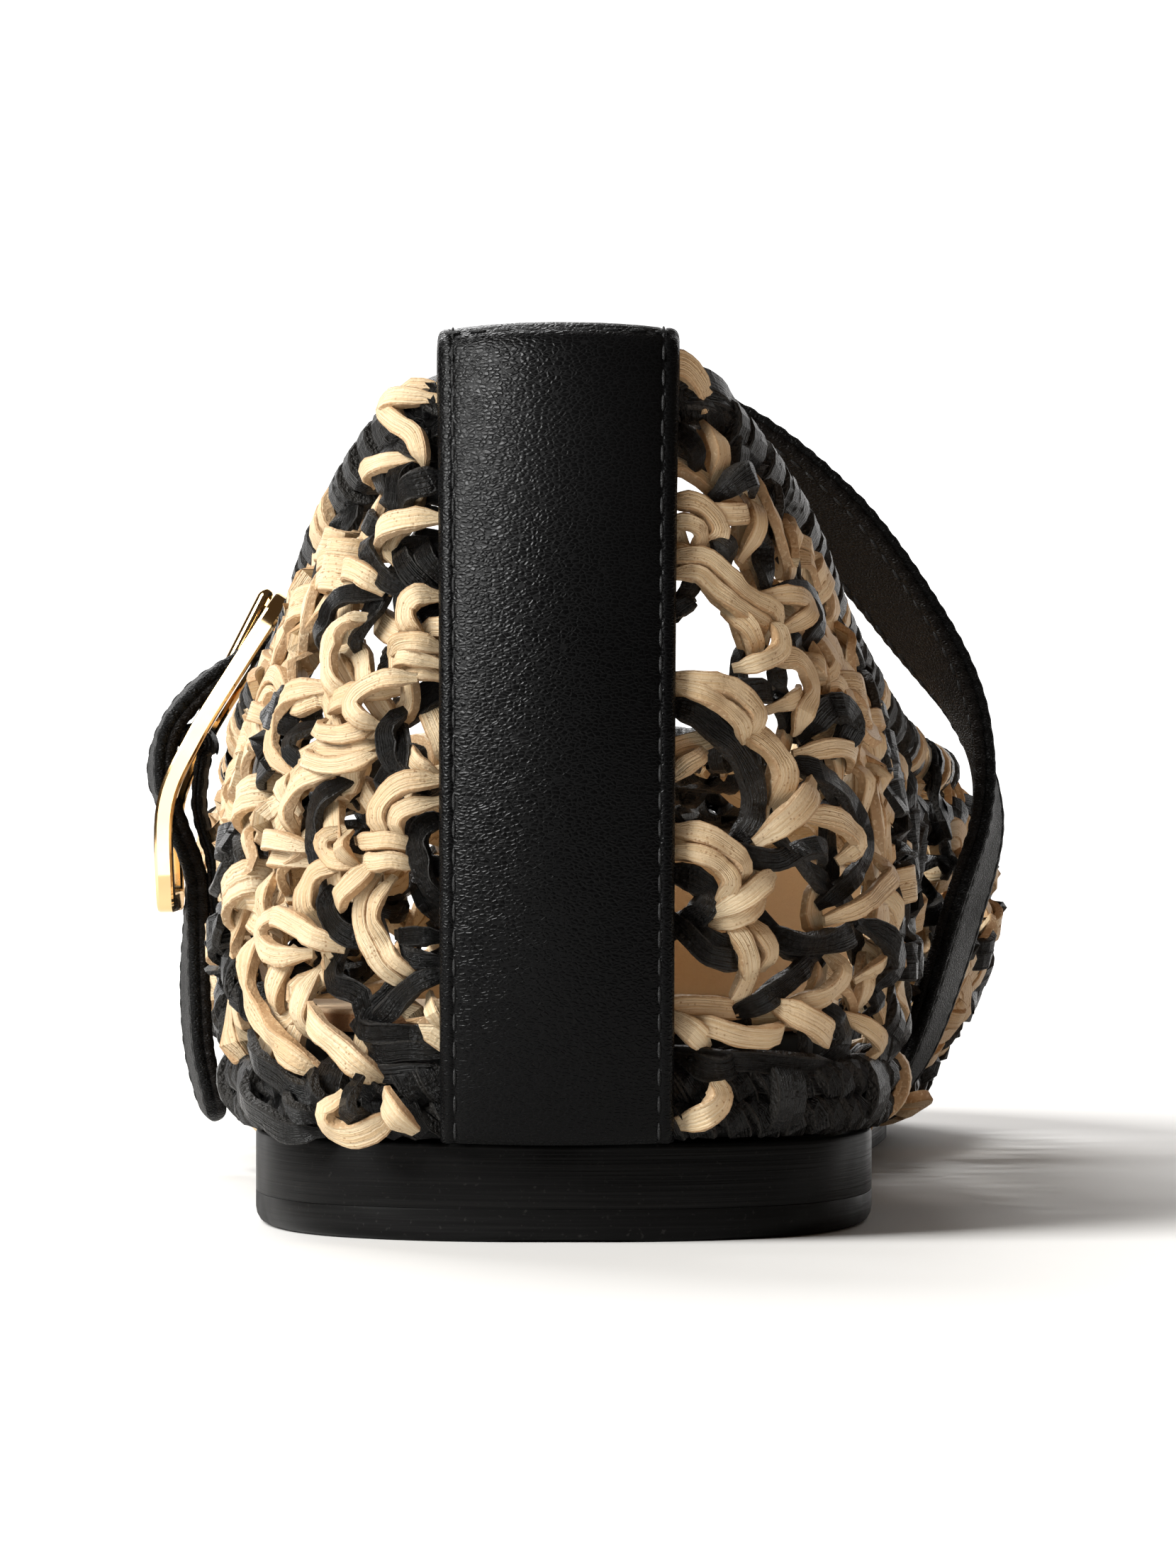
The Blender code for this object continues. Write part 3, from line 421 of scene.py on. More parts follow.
def stitchTree():
    # short rounded stitches along loose paths
    tree, given = newTree(
        "stitchesAlongPaths", "GeometryNodeTree",
        {"Paths": "Geometry", "Pitch": "Float", "Length": "Float", "Thick": "Float", "Thread": "Material"},
        {"Stitches": "Geometry"},
    )
    chain = take(tree, "GeometryNodeMeshToCurve", "Curve", {"Mesh": given["Paths"]})
    even = {"Curve": chain, "Length": given["Pitch"]}
    chain = take(tree, "GeometryNodeResampleCurve", "Curve", even, mode="LENGTH")
    align = "FunctionNodeAlignRotationToVector"
    run = take(tree, "GeometryNodeInputTangent", "Tangent")
    turn = take(tree, align, "Rotation", {"Vector": run}, axis="X")
    faceOut = namedValue(tree, "faceOut", "FLOAT_VECTOR")
    turn = take(tree, align, "Rotation", {"Rotation": turn, "Vector": faceOut}, axis="Z", pivot_axis="X")
    bead = take(tree, "GeometryNodeMeshUVSphere", "Mesh", {"Segments": 8, "Rings": 5, "Radius": 0.5})
    sizes = {"X": given["Length"], "Y": given["Thick"], "Z": given["Thick"]}
    bead = change(tree, "Transform", bead, {"Scale": take(tree, "ShaderNodeCombineXYZ", 0, sizes)})
    bead = change(tree, "SetShadeSmooth", bead)
    placed = {"Points": chain, "Instance": bead, "Rotation": turn}
    stitches = take(tree, "GeometryNodeInstanceOnPoints", "Instances", placed)
    stitches = change(tree, "RealizeInstances", stitches)
    stitches = change(tree, "SetMaterial", stitches, {"Material": given["Thread"]})
    put(tree, "NodeGroupOutput", {"Stitches": stitches})
    return tree


# shader groups that several finishes share
def shaderTree(name, inputs, outputs):
    return newTree(name, "ShaderNodeTree", dict.fromkeys(inputs, "Float"), dict.fromkeys(outputs, "Float"))


def objectPlace(tree):
    return take(tree, "ShaderNodeTexCoord", "Object")


def ownValue(tree, name):
    return take(tree, "ShaderNodeAttribute", "Fac", attribute_name=name)


def vectors(tree, operation, first, second):
    return take(tree, "ShaderNodeVectorMath", 0, {0: first, 1: second}, operation=operation)


def mapRange(tree, value, low, high, newLow=0.0, newHigh=1.0):
    feeds = {"Value": value, "From Min": low, "From Max": high, "To Min": newLow, "To Max": newHigh}
    return take(tree, "ShaderNodeMapRange", "Result", feeds, interpolation_type="SMOOTHSTEP")


def pebbleGroup():
    tree, given = shaderTree("pebbleGrain", ["Scale", "Warp"], ["Height", "Crease"])
    # the grain lies a little flatter than it is wide
    place = vectors(tree, "MULTIPLY", objectPlace(tree), (1.0, 1.0, 1.8))
    stir = vectors(tree, "SUBTRACT", noise(tree, place, 700.0, 2.0, "Color"), (0.5, 0.5, 0.5))
    stir = take(tree, "ShaderNodeVectorMath", 0, {0: stir, "Scale": given["Warp"]}, operation="SCALE")
    moved = {"Vector": vectors(tree, "ADD", place, stir), "Scale": given["Scale"]}
    cells = take(tree, "ShaderNodeTexVoronoi", "Distance", moved, feature="DISTANCE_TO_EDGE")
    fine = times(tree, noise(tree, place, 5200.0, 3.0), 0.25)
    put(tree, "NodeGroupOutput", {
        "Height": maths(tree, "ADD", mapRange(tree, cells, 0.0, 0.32), fine),
        "Crease": mapRange(tree, cells, 0.12, 0.0)})
    return tree


def fibreGroup():
    # streaks along a strip, raw edges (on the black strips partly a painted glint), the strip's own shade and
    # pores in patches
    tree, given = shaderTree("stripFibres", ["Stretch"], ["Streak", "Edge", "Shade", "Pore", "Height"])
    along, across, shade = (ownValue(tree, name) for name in ("alongStrip", "acrossStrip", "stripShade"))
    spot = take(tree, "ShaderNodeCombineXYZ", 0, {
        "X": times(tree, along, given["Stretch"]), "Y": times(tree, across, 7.0),
        "Z": times(tree, shade, 40.0)})
    streak = noise(tree, spot, 1.0, 4.0)
    place = objectPlace(tree)
    speck = noise(tree, place, 3000.0, 3.0)
    rim = mapRange(tree, maths(tree, "ABSOLUTE", across), 0.76, 0.9)
    dots = take(tree, "ShaderNodeTexVoronoi", "Distance", {"Vector": place, "Scale": 2200.0})
    patch = noise(tree, place, 320.0, 2.0)
    put(tree, "NodeGroupOutput", {
        "Streak": streak, "Shade": shade, "Edge": times(tree, rim, mapRange(tree, speck, 0.22, 0.5)),
        "Pore": times(tree, mapRange(tree, dots, 0.3, 0.12), mapRange(tree, patch, 0.44, 0.58)),
        "Height": maths(tree, "ADD", streak, times(tree, speck, 0.5))})
    return tree


def wearGroup():
    # broad soft patches that dull or polish a surface
    tree, given = shaderTree("softWear", ["Scale"], ["Patch", "Speck"])
    place = objectPlace(tree)
    put(tree, "NodeGroupOutput", {
        "Patch": mapRange(tree, noise(tree, place, given["Scale"], 3.0), 0.3, 0.7),
        "Speck": mapRange(tree, noise(tree, place, 2400.0, 2.0), 0.62, 0.8)})
    return tree


groups = {"pebble": pebbleGroup(), "fibre": fibreGroup(), "wear": wearGroup()}


def newFinish(name, recipe, look):
    # a recipe works out what goes into the Principled node
    material = bpy.data.materials.new(name)
    material.use_nodes = True
    tree = material.node_tree
    feed(tree, tree.nodes["Principled BSDF"].inputs, recipe(tree, look))
    return material


def useGroup(tree, name, **values):
    return put(tree, "ShaderNodeGroup", values, node_tree=groups[name]).outputs


def mixColour(tree, share, *pair):
    first, second = ((*colour, 1.0) if isinstance(colour, tuple) else colour for colour in pair)
    return take(tree, "ShaderNodeMix", 2, {0: share, 6: first, 7: second}, data_type="RGBA")


def leather(tree, look, colour, roughShare, height, moreRough=None):
    rough = mapRange(tree, roughShare, 0.0, 1.0, *look["rough"])
    rough = rough if moreRough is None else maths(tree, "ADD", rough, moreRough)
    bump = {"Height": height, "Distance": look["depth"], "Strength": 1.0}
    return {
        "Base Color": colour, "Roughness": rough, "Specular IOR Level": look["specular"],
        "Normal": take(tree, "ShaderNodeBump", "Normal", bump)}


def grainLeather(tree, look):
    # black dyed leather with a pebbled face
    grain = useGroup(tree, "pebble", Scale=look["grainScale"], Warp=look["grainWarp"])
    patch = useGroup(tree, "wear", Scale=look["patchScale"])["Patch"]
    colour = mixColour(tree, patch, look["colour"], look["patchColour"])
    if "innerColour" in look:
        colour = mixColour(tree, ownValue(tree, "innerFace"), colour, look["innerColour"])
    dull = times(tree, patch, look["roughPatch"])
    return leather(tree, look, colour, grain["Crease"], grain["Height"], dull)


def stripLeather(tree, look):
    # a cut strip: smooth face, streaks along it and raw edges; on the black strips the paler edges are partly
    # raw fibre and partly a painted glint
    fibre = useGroup(tree, "fibre", Stretch=look["stretch"])
    patch = useGroup(tree, "wear", Scale=look["patchScale"])["Patch"]
    colour = mixColour(tree, mapRange(tree, fibre["Streak"], 0.44, 0.6), look["face"], look["streak"])
    for mask, share, shade in (
        (fibre["Shade"], "shadeShare", "deep"), (patch, "patchShare", "deep"),
        (fibre["Pore"], "poreShare", "edge"), (fibre["Edge"], "edgeShare", "edge"),
    ):
        colour = mixColour(tree, times(tree, mask, look[share]), colour, look[shade])
    return leather(tree, look, colour, fibre["Edge"], fibre["Height"])


def layeredSole(tree, look):
    # a dyed sole edge with fine level lines
    flat = {"Vector": objectPlace(tree), "Scale": look["lineScale"]}
    lines = noise(tree, take(tree, "ShaderNodeMapping", "Vector", flat), 1.0, 4.0)
    wear = useGroup(tree, "wear", Scale=look["patchScale"])
    colour = mixColour(tree, mapRange(tree, lines, 0.4, 0.75), look["colour"], look["lineColour"])
    colour = mixColour(tree, times(tree, wear["Speck"], look["dustShare"]), colour, look["dust"])
    return leather(tree, look, colour, wear["Patch"], lines)


def tanLeather(tree, look):
    # plain on its face and fibrous on its raw edge
    grain = useGroup(tree, "pebble", Scale=look["grainScale"], Warp=look["grainWarp"])
    wear = useGroup(tree, "wear", Scale=look["patchScale"])
    raw = ownValue(tree, "rawEdge")
    colour = mixColour(tree, wear["Patch"], look["face"], look["patch"])
    edge = mixColour(tree, wear["Speck"], look["edge"], look["edgeFibre"])
    return leather(tree, look, mixColour(tree, raw, colour, edge), raw, grain["Height"])


def polishedGold(tree, look):
    patch = useGroup(tree, "wear", Scale=look["patchScale"])["Patch"]
    return {
        "Base Color": mixColour(tree, patch, look["colour"], look["deep"]), "Metallic": 1.0,
        "Roughness": mapRange(tree, patch, 0.0, 1.0, *look["rough"])}


dust = (0.09, 0.085, 0.08)
tanLook = {
    "edgeFibre": (0.46, 0.27, 0.13), "grainScale": 2200.0, "grainWarp": 0.0003, "depth": 0.00004,
    "patchScale": 40.0, "rough": (0.75, 0.9), "specular": 0.15,
}
stripLook = {"stretch": 160.0, "patchScale": 90.0}
looks = {
    "blackGrain": (grainLeather, {
        "colour": (0.0012, 0.0012, 0.0013), "patchColour": (0.002, 0.002, 0.0021), "patchScale": 45.0,
        "grainScale": 1800.0, "grainWarp": 0.0005, "depth": 0.000026,
        "rough": (0.24, 0.5), "roughPatch": 0.06, "specular": 0.09}),
    "strapBlack": (grainLeather, {
        "colour": (0.0025, 0.0025, 0.0025), "patchColour": (0.004, 0.0038, 0.0036), "patchScale": 70.0,
        "innerColour": (0.0045, 0.0033, 0.0026), "grainScale": 1900.0, "grainWarp": 0.0004, "depth": 0.00008,
        "rough": (0.42, 0.6), "roughPatch": 0.12, "specular": 0.1}),
    "stripNatural": (stripLeather, {
        **stripLook, "face": (0.80, 0.66, 0.45), "streak": (0.69, 0.515, 0.305), "deep": (0.50, 0.31, 0.145),
        "edge": (0.33, 0.17, 0.07), "shadeShare": 0.34, "patchShare": 0.24, "edgeShare": 0.62,
        "poreShare": 0.7, "depth": 0.00025, "rough": (0.5, 0.85), "specular": 0.35}),
    # black strips: the paler edge colour is partly the pale fibre of a cut edge and partly a painted glint
    # along the edges
    "stripBlack": (stripLeather, {
        **stripLook, "face": (0.0035, 0.0033, 0.003), "streak": (0.007, 0.0065, 0.006),
        "deep": (0.002, 0.002, 0.002), "edge": (0.045, 0.04, 0.034), "shadeShare": 0.5, "patchShare": 0.3,
        "edgeShare": 0.35, "poreShare": 0.1, "depth": 0.0009, "rough": (0.28, 0.55), "specular": 0.36}),
    "soleEdge": (layeredSole, {
        "colour": (0.0015, 0.0015, 0.0015), "lineColour": (0.006, 0.0058, 0.0056), "dust": dust,
        "dustShare": 0.12, "lineScale": (40.0, 40.0, 3600.0), "depth": 0.00006, "patchScale": 50.0,
        "rough": (0.42, 0.58), "specular": 0.1}),
    "liftRubber": (layeredSole, {
        "colour": (0.002, 0.002, 0.002), "lineColour": (0.006, 0.006, 0.006), "dust": dust,
        "dustShare": 0.16, "lineScale": (60.0, 60.0, 2600.0), "depth": 0.00004, "patchScale": 70.0,
        "rough": (0.44, 0.6), "specular": 0.1}),
    "midsoleBlack": (layeredSole, {
        "colour": (0.010, 0.010, 0.010), "lineColour": (0.014, 0.014, 0.014), "dust": (0.07, 0.065, 0.06),
        "dustShare": 0.15, "lineScale": (80.0, 80.0, 1500.0), "depth": 0.00005, "patchScale": 80.0,
        "rough": (0.65, 0.8), "specular": 0.3}),
    # the insole's face is partly the leather's own tan and partly painted light, paler so the shaded footbed
    # seen through the openings looks lit
    "insoleTan": (tanLeather, {
        **tanLook, "face": (0.84, 0.64, 0.43), "patch": (0.78, 0.57, 0.37), "edge": (0.30, 0.15, 0.07)}),
    # the toe lining's face is painted paler than the insole's: painted light for the light that reaches it
    # through the net
    "liningTan": (tanLeather, {
        **tanLook, "face": (0.92, 0.74, 0.52), "patch": (0.88, 0.68, 0.46), "edge": (0.22, 0.10, 0.045)}),
    "goldMetal": (polishedGold, {
        "colour": (0.93, 0.67, 0.36), "deep": (0.86, 0.58, 0.28), "patchScale": 120.0, "rough": (0.04, 0.1)}),
    "blackThread": (grainLeather, {
        "colour": (0.006, 0.006, 0.0062), "patchColour": (0.009, 0.009, 0.009), "patchScale": 200.0,
        "grainScale": 4000.0, "grainWarp": 0.0002, "depth": 0.00003,
        "rough": (0.45, 0.6), "roughPatch": 0.1, "specular": 0.25}),
}
finishes = {name: newFinish(name, recipe, look) for name, (recipe, look) in looks.items()}
trees = {"strip": stripTree(), "stitch": stitchTree()}
print("finishes and node trees made")


# sole: outsole, heel lift, midsole and insole as layers inside one outline
soleWork = {
    "stations": 150, "endCut": 0.004, "columns": 10, "narrowest": 0.4, "rawFrom": 0.2, "liftFill": 0.95,
    "outsoleRound": [(0.45, 0.0), (0.14, 0.14), (0.0, 0.5)],
    "outsoleFoot": [(0.0, 0.05), (0.015, 0.015), (0.05, 0.0)],
    "liftRound": [(0.05, 0.0), (0.015, 0.015), (0.0, 0.05)],
    "liftFoot": [(0.0, 1.3), (0.1, 0.75), (0.35, 0.3), (0.8, 0.07), (1.3, 0.0)],
    "plainRound": [(0.4, 0.0), (0.1, 0.12), (0.0, 0.45)], "plainFoot": [(0.0, 0.3), (0.1, 0.0)],
}


def outlineSides(margin):
    edge = lastGrid["points"][:-1, 0, :2]
    run = unit(np.roll(edge, -1, axis=0) - np.roll(edge, 1, axis=0))
    edge = edge + margin * np.column_stack([run[:, 1], -run[:, 0]])
    edge = np.roll(edge, -int(np.argmin(edge[:, 1])), axis=0)
    toe = int(np.argmax(edge[:, 1]))
    inner = edge[: toe + 1, ::-1]
    outer = np.vstack([edge[toe:], edge[:1]])[::-1, ::-1]
    return inner, outer


def soleStations(margin, end, extra):
    inner, _ = outlineSides(margin)
    heel, cut = inner[0, 0], soleWork["endCut"]
    toe, turn, last = (inner[-1, 0], math.pi, 1.0 - cut) if end is None else (end, math.pi / 2, 1.0)
    angle = np.linspace(cut, last, soleWork["stations"]) * turn
    along = heel + (toe - heel) * (1 - np.cos(angle)) / (1 - math.cos(turn))
    return np.sort(np.concatenate([along, extra]))


def soleRing(margin, inset, along, height):
    # one level round the layer: up the outer side from the heel and back down the inner side
    inner, outer = outlineSides(margin)
    left = np.interp(along, outer[:, 0], outer[:, 1])
    right = np.interp(along, inner[:, 0], inner[:, 1])
    middle, half = (left + right) / 2, (right - left) / 2
    heel, toe = along[0], along[-1]
    share = np.maximum(half - inset, half * soleWork["narrowest"]) / half
    pulled = np.clip(along, heel + inset, toe - inset)
    up = height(pulled)
    outerSide = np.column_stack([middle - half * share, pulled, up])
    innerSide = np.column_stack([middle + half * share, pulled, up])
    return np.vstack([outerSide, innerSide[::-1]])


def layerSolid(name, finish, margin, top, bottom, rounds, end=None, extra=(), rawSide=False):
    along = soleStations(margin, end, extra)
    count, around = len(along), 2 * len(along)
    rings, raw = [], []
    for inset, drop in soleWork[rounds[0]]:
        rings.append(soleRing(margin, inset, along, lambda y, drop=drop: top(y) - drop))
        raw.append(1.0 if drop > soleWork["rawFrom"] else 0.0)
    for inset, rise in soleWork[rounds[1]]:
        rings.append(soleRing(margin, inset, along, lambda y, rise=rise: bottom(y) + rise))
        raw.append(1.0)
    points = list(np.vstack(rings))
    shades = list(np.repeat(raw, around))
    faces = wallFaces(len(rings), around)
    # the top and bottom faces as rows across the shoe
    columns = np.linspace(0, 1, soleWork["columns"] + 1)[1:-1]
    for level, height, turn in ((0, top, 1), (len(rings) - 1, bottom, -1)):
        rows = []
        for k in range(count):
            left, right = level * around + k, level * around + around - 1 - k
            row = [left]
            for share in columns:
                place = points[left] * (1 - share) + points[right] * share
                points.append(np.array([place[0], place[1], float(height(place[1]))]))
                shades.append(0.0)
                row.append(len(points) - 1)
            rows.append(row + [right])
        for low, high in zip(rows, rows[1:]):
            for m in range(len(low) - 1):
                faces.append((low[m], low[m + 1], high[m + 1], high[m])[::turn])
    attributes = {"rawEdge": shades} if rawSide else None
    return newPiece(name, points, faceOutwards(points, faces), finishes[finish], attributes)


def outsoleBottom(along):
    waist = soleSeat(along) - shoe["gap"] - shoe["soleThick"]
    rise = np.clip((np.asarray(along, float) - shoe["heelBreast"]) / shoe["breastSlope"], 0, 1)
    level = shoe["liftThick"] + shoe["gap"]
    return level + (waist - level) * rise


def makeSole():
    breast = (shoe["heelBreast"], shoe["heelBreast"] + shoe["breastSlope"])
    liftTop = shoe["liftThick"] + shoe["gap"] * soleWork["liftFill"]
    under = shoe["insoleThick"] + shoe["gap"]
    edge, inside = shoe["outsoleMargin"], shoe["insideMargin"]
    keepPiece(layerSolid(
        "outsoleDyed", "soleEdge", edge, lambda y: soleSeat(y) - shoe["gap"], outsoleBottom,
        ("outsoleRound", "outsoleFoot"), extra=breast,
    ), "sole_black", "outsole")
    keepPiece(layerSolid(
        "heelLiftRubber", "liftRubber", edge, lambda y: np.zeros_like(y) + liftTop, np.zeros_like,
        ("liftRound", "liftFoot"), end=shoe["heelBreast"],
    ), "lift_rubber", "heel_lift")
    keepPiece(layerSolid(
        "midsoleFiller", "midsoleBlack", inside, lambda y: footbed(y) - under, soleSeat,
        ("plainRound", "plainFoot"),
    ), "midsole_black", "midsole")
    keepPiece(layerSolid(
        "insoleFootbed", "insoleTan", inside, footbed, lambda y: footbed(y) - shoe["insoleThick"],
        ("plainRound", "plainFoot"), rawSide=True,
    ), "insole_leather", "insole")


makeSole()
print("sole layers made")

# strap, tab and buckle routes, the same as the solids' own
# each place: out, along, up, tilt and splay
strapRoute = [
    (30.7, 126, 5.6, 0, 12), (35.0, 123.5, 12.5, 0, 14), (39.0, 119, 25, 5, 14),
    (41.2, 114.5, 35.5, 15, 8), (39.3, 111, 45, 25, 3), (33.6, 107.5, 54.6, 35, 0),
    (25.3, 104.5, 64.6, 40, 0), (14.5, 102.5, 72.5, 40, 0), (1.5, 101.5, 75.8, 38, 0),
    (-10.5, 102.2, 73, 30, 0), (-20.0, 104.2, 66, 15, 0),
]
strapEnd = [(-37.3, 107.6, 18.5, 0, -9), (-36.9, 108.4, 12, 0, -9), (-35.3, 109.0, 5.2, 0, -9)]
tabRoute = [(-29.6, 112.5, 6.6, 0, -8), (-32.6, 111, 12.5, 0, -8), (-34.6, 109, 19.5, 0, -4)]
buckle = {
    "face": [(-28.6, 56.2), (-32.8, 49.7), (-36.9, 43.0), (-39.7, 36.4), (-39.7, 27.0)], "along": 107.0,
    "strapThread": [(-0.08, -2.4, 0), (0.05, -2.4, 0), (0.20, 0.3, -4), (0.36, 2.4, -8), (0.50, 3.0, -6),
                    (0.63, 1.7, -8), (0.76, -0.8, -4), (0.92, -2.5, -4), (1.06, -2.5, -6)],
    "tabThread": [(1.0, -4.5), (0.88, -4.4), (0.76, -3.4), (0.66, -2.6)],
    "loopAngles": [-60.0, -100.0, -140.0, 180.0, 140.0, 100.0, 70.0], "loopRadius": 1.45,
    "middleShare": 0.5, "sideMiddle": 7.4, "barHalf": 1.0, "thickHalf": 0.9, "middleHalf": 0.65,
    "bevel": 0.3, "faceSteps": 12, "sideSteps": 26, "barStations": 9, "barSides": 12, "prongSides": 14,
    "crisp": 15.0, "cornerSteps": 6, "cornerRadius": 1.6, "prongRadius": 0.8, "prongTip": -0.02,
    "prongRootOff": 0.6, "bevelMiddle": 0.3, "smallShare": 0.02,
}


def buckleAt(share, off=0.0, along=0.0):
    line = throughPoints([(out, buckle["along"], up) for out, up in buckle["face"]], buckle["faceSteps"])
    run = runLength(line)
    s = share * run[-1]
    inside = np.clip(s, 0, run[-1])
    ahead = np.clip(inside + 0.5, 1.0, run[-1])
    here, front, back = (
        np.array([np.interp(place, run, axis) for axis in line.T]) for place in (inside, ahead, ahead - 1)
    )
    down = unit(front - back)
    outward = np.array([down[2], 0.0, -down[0]])
    return here + down * (s - inside) + outward * off + np.array([0.0, along, 0.0])


buckle["length"] = runLength(throughPoints(buckle["face"], buckle["faceSteps"]))[-1]
# over the frame the strap turns a little, so that its outer face shows from behind
threaded = [(*buckleAt(share, off), 0.0, turn) for share, off, turn in buckle["strapThread"]]
strapPath = strapRoute + threaded + strapEnd
tabPath = tabRoute + [(*buckleAt(share, off), 0.0, 0.0) for share, off in buckle["tabThread"]]
for angle in buckle["loopAngles"]:
    turn = math.radians(angle)
    share = buckle["middleShare"] + buckle["loopRadius"] * math.cos(turn) / buckle["length"]
    tabPath.append((*buckleAt(share, buckle["loopRadius"] * math.sin(turn)), 0.0, 0.0))

# straps: two layers of leather with rolled, stitched edges
seamWork = {"stitchShare": 0.8, "stitchDepth": 0.86, "stitchPitch": 1.9}
strapWork = {
    **seamWork, "width": 11.0, "thick": 2.2, "steps": 30, "tipLength": 5.0, "tipEnd": 0.995,
    "tipRound": 1.6, "roundEnd": 0.98,
    "edgeWave": 0.02, "wavePitch": 1.6, "stitchLength": 1.45, "stitchThick": 0.42,
}
tabWork = {
    **seamWork, "width": 10.0, "thick": 1.0, "steps": 14, "tipLength": 0.0,
    "edgeWave": 0.012, "wavePitch": 1.9, "stitchLength": 1.4, "stitchThick": 0.36,
}
# half of a strap's section: share of the half width, share of the half thickness
strapSection = [
    (0.0, 1.0), (0.35, 0.99), (0.62, 0.97), (0.74, 0.93), (0.8, 0.84), (0.86, 0.95), (0.93, 0.93),
    (0.98, 0.74), (1.0, 0.42), (0.985, 0.12), (0.95, 0.0),
]


def bandFrames(path, steps):
    route = throughPoints(path, steps)
    line, tilt, splay = route[:, :3], np.radians(route[:, 3]), np.radians(route[:, 4])
    run = unit(np.gradient(line, axis=0))
    wide = np.column_stack([np.sin(splay), np.cos(splay) * np.cos(tilt), -np.sin(tilt)])
    wide = unit(wide - run * (run * wide).sum(axis=1)[:, None])
    return line, run, wide, np.cross(wide, run)


def makeBand(name, path, work):
    line, run, wide, face = bandFrames(path, work["steps"])
    length = runLength(line)
    share = np.ones(len(line))
    thick = np.ones(len(line))
    if work["tipLength"]:
        thick = np.sqrt(1 - np.clip(1 - (length[-1] - length) / work["tipRound"], 0, work["roundEnd"]) ** 2)
        left = np.clip(1 - (length[-1] - length) / work["tipLength"], 0, work["tipEnd"])
        share = np.sqrt(1 - left**2)
    share = share * (1 + work["edgeWave"] * np.sin(2 * math.pi * length / work["wavePitch"]))
    right = strapSection + [(out, -up) for out, up in strapSection[-2::-1]]
    profile = np.array(right + [(-out, up) for out, up in right[-2:0:-1]])
    sections = (
        line[:, None, :]
        + wide[:, None, :] * (profile[:, 0] * work["width"] / 2)[None, :, None] * share[:, None, None]
        + face[:, None, :] * (profile[:, 1] * work["thick"] / 2)[None, :, None] * thick[:, None, None]
    )
    points, faces = sweptSolid(sections)
    inner = np.tile((profile[:, 1] < 0.0).astype(float), len(line))
    band = newPiece(name, points, faces, finishes["strapBlack"], {"innerFace": inner})
    # the seams stop short of a rounded tip
    sewn = length < length[-1] - work["tipLength"] / 2
    paths = []
    for side in (-1, 1):
        for way in (1, -1):
            off = wide * (side * work["stitchShare"] * work["width"] / 2 * share)[:, None]
            seam = line + off + face * (way * work["thick"] / 2 * work["stitchDepth"])
            paths.append((seam[sewn], face[sewn] * way, np.ones(sewn.sum()), 0.5))
    return band, sewAlong(name + "Stitches", paths, work)


for name, node, path, work in (
    ("instepStrap", "instep_strap", strapPath, strapWork), ("buckleTab", "strap_tab", tabPath, tabWork),
):
    for piece in makeBand(name, path, work):
        keepPiece(piece, "black_leather", node)
print("strap and tab made")


# buckle: round-cornered frame with a middle bar, and its prong
def barSection(halfWide, halfThick):
    # a bar's section with small bevels, as (in the face, off the face)
    bevel = buckle["bevel"]
    middle = bevel * buckle["bevelMiddle"]
    corner = [
        (halfWide, halfThick - bevel), (halfWide - middle, halfThick - middle), (halfWide - bevel, halfThick)
    ]
    half = corner + [(-wide, thick) for wide, thick in corner[::-1]]
    return np.array(half + [(-wide, -thick) for wide, thick in half])


def buckleLoop():
    # the frame's middle line as (down the face, along the shoe)
    radius, reach, length = buckle["cornerRadius"], buckle["sideMiddle"], buckle["length"]
    corners = [(0.0, reach, 0), (length, reach, 90), (length, -reach, 180), (0.0, -reach, 270)]
    loop = []
    for down, along, first in corners:
        middle = (down - radius if down else radius, math.copysign(reach - radius, along))
        for step in range(buckle["cornerSteps"] + 1):
            angle = math.radians(180 - first - 90 * step / buckle["cornerSteps"])
            loop.append((middle[0] + radius * math.cos(angle), middle[1] + radius * math.sin(angle)))
        # the long sides bend with the face
        ends = (length - radius, radius) if down else (radius, length - radius)
        if first in (0, 180):
            loop += [(value, along) for value in np.linspace(*ends, buckle["sideSteps"])[1:-1]]
    return np.array(loop)


def makeBuckle():
    loop = buckleLoop()
    middle = np.array([buckleAt(down / buckle["length"], 0.0, along) for down, along in loop])
    off = np.array([buckleAt(down / buckle["length"], 1.0, along) for down, along in loop]) - middle
    run = unit(np.roll(middle, -1, axis=0) - np.roll(middle, 1, axis=0))
    inFace = unit(np.cross(off, run))
    profile = barSection(buckle["barHalf"], buckle["thickHalf"])
    sections = middle[:, None] + inFace[:, None] * profile[None, :, :1] + off[:, None] * profile[None, :, 1:]
    points, faces = sweptSolid(sections, closed=True)
    reach = buckle["sideMiddle"]
    stations = np.linspace(-reach, reach, buckle["barStations"])
    centre = np.array([buckleAt(buckle["middleShare"], 0.0, along) for along in stations])
    share, small = buckle["middleShare"], buckle["smallShare"]
    down = unit(buckleAt(share + small) - buckleAt(share - small))
    outward = buckleAt(share, 1.0) - buckleAt(share)
    ring = swing(np.linspace(0, 2 * math.pi, buckle["barSides"], endpoint=False), down, outward)
    bar = centre[:, None, :] + ring[None] * buckle["middleHalf"]
    barPoints, barFaces = sweptSolid(bar)
    shift = len(points)
    faces = faces + [tuple(shift + k for k in face) for face in barFaces]
    frameBar = newPiece("buckleFrameGold", np.vstack([points, barPoints]), faces, finishes["goldMetal"])
    frameBar.data.set_sharp_from_angle(angle=math.radians(buckle["crisp"]))
    keepPiece(frameBar, "buckle_metal", "buckle_frame")


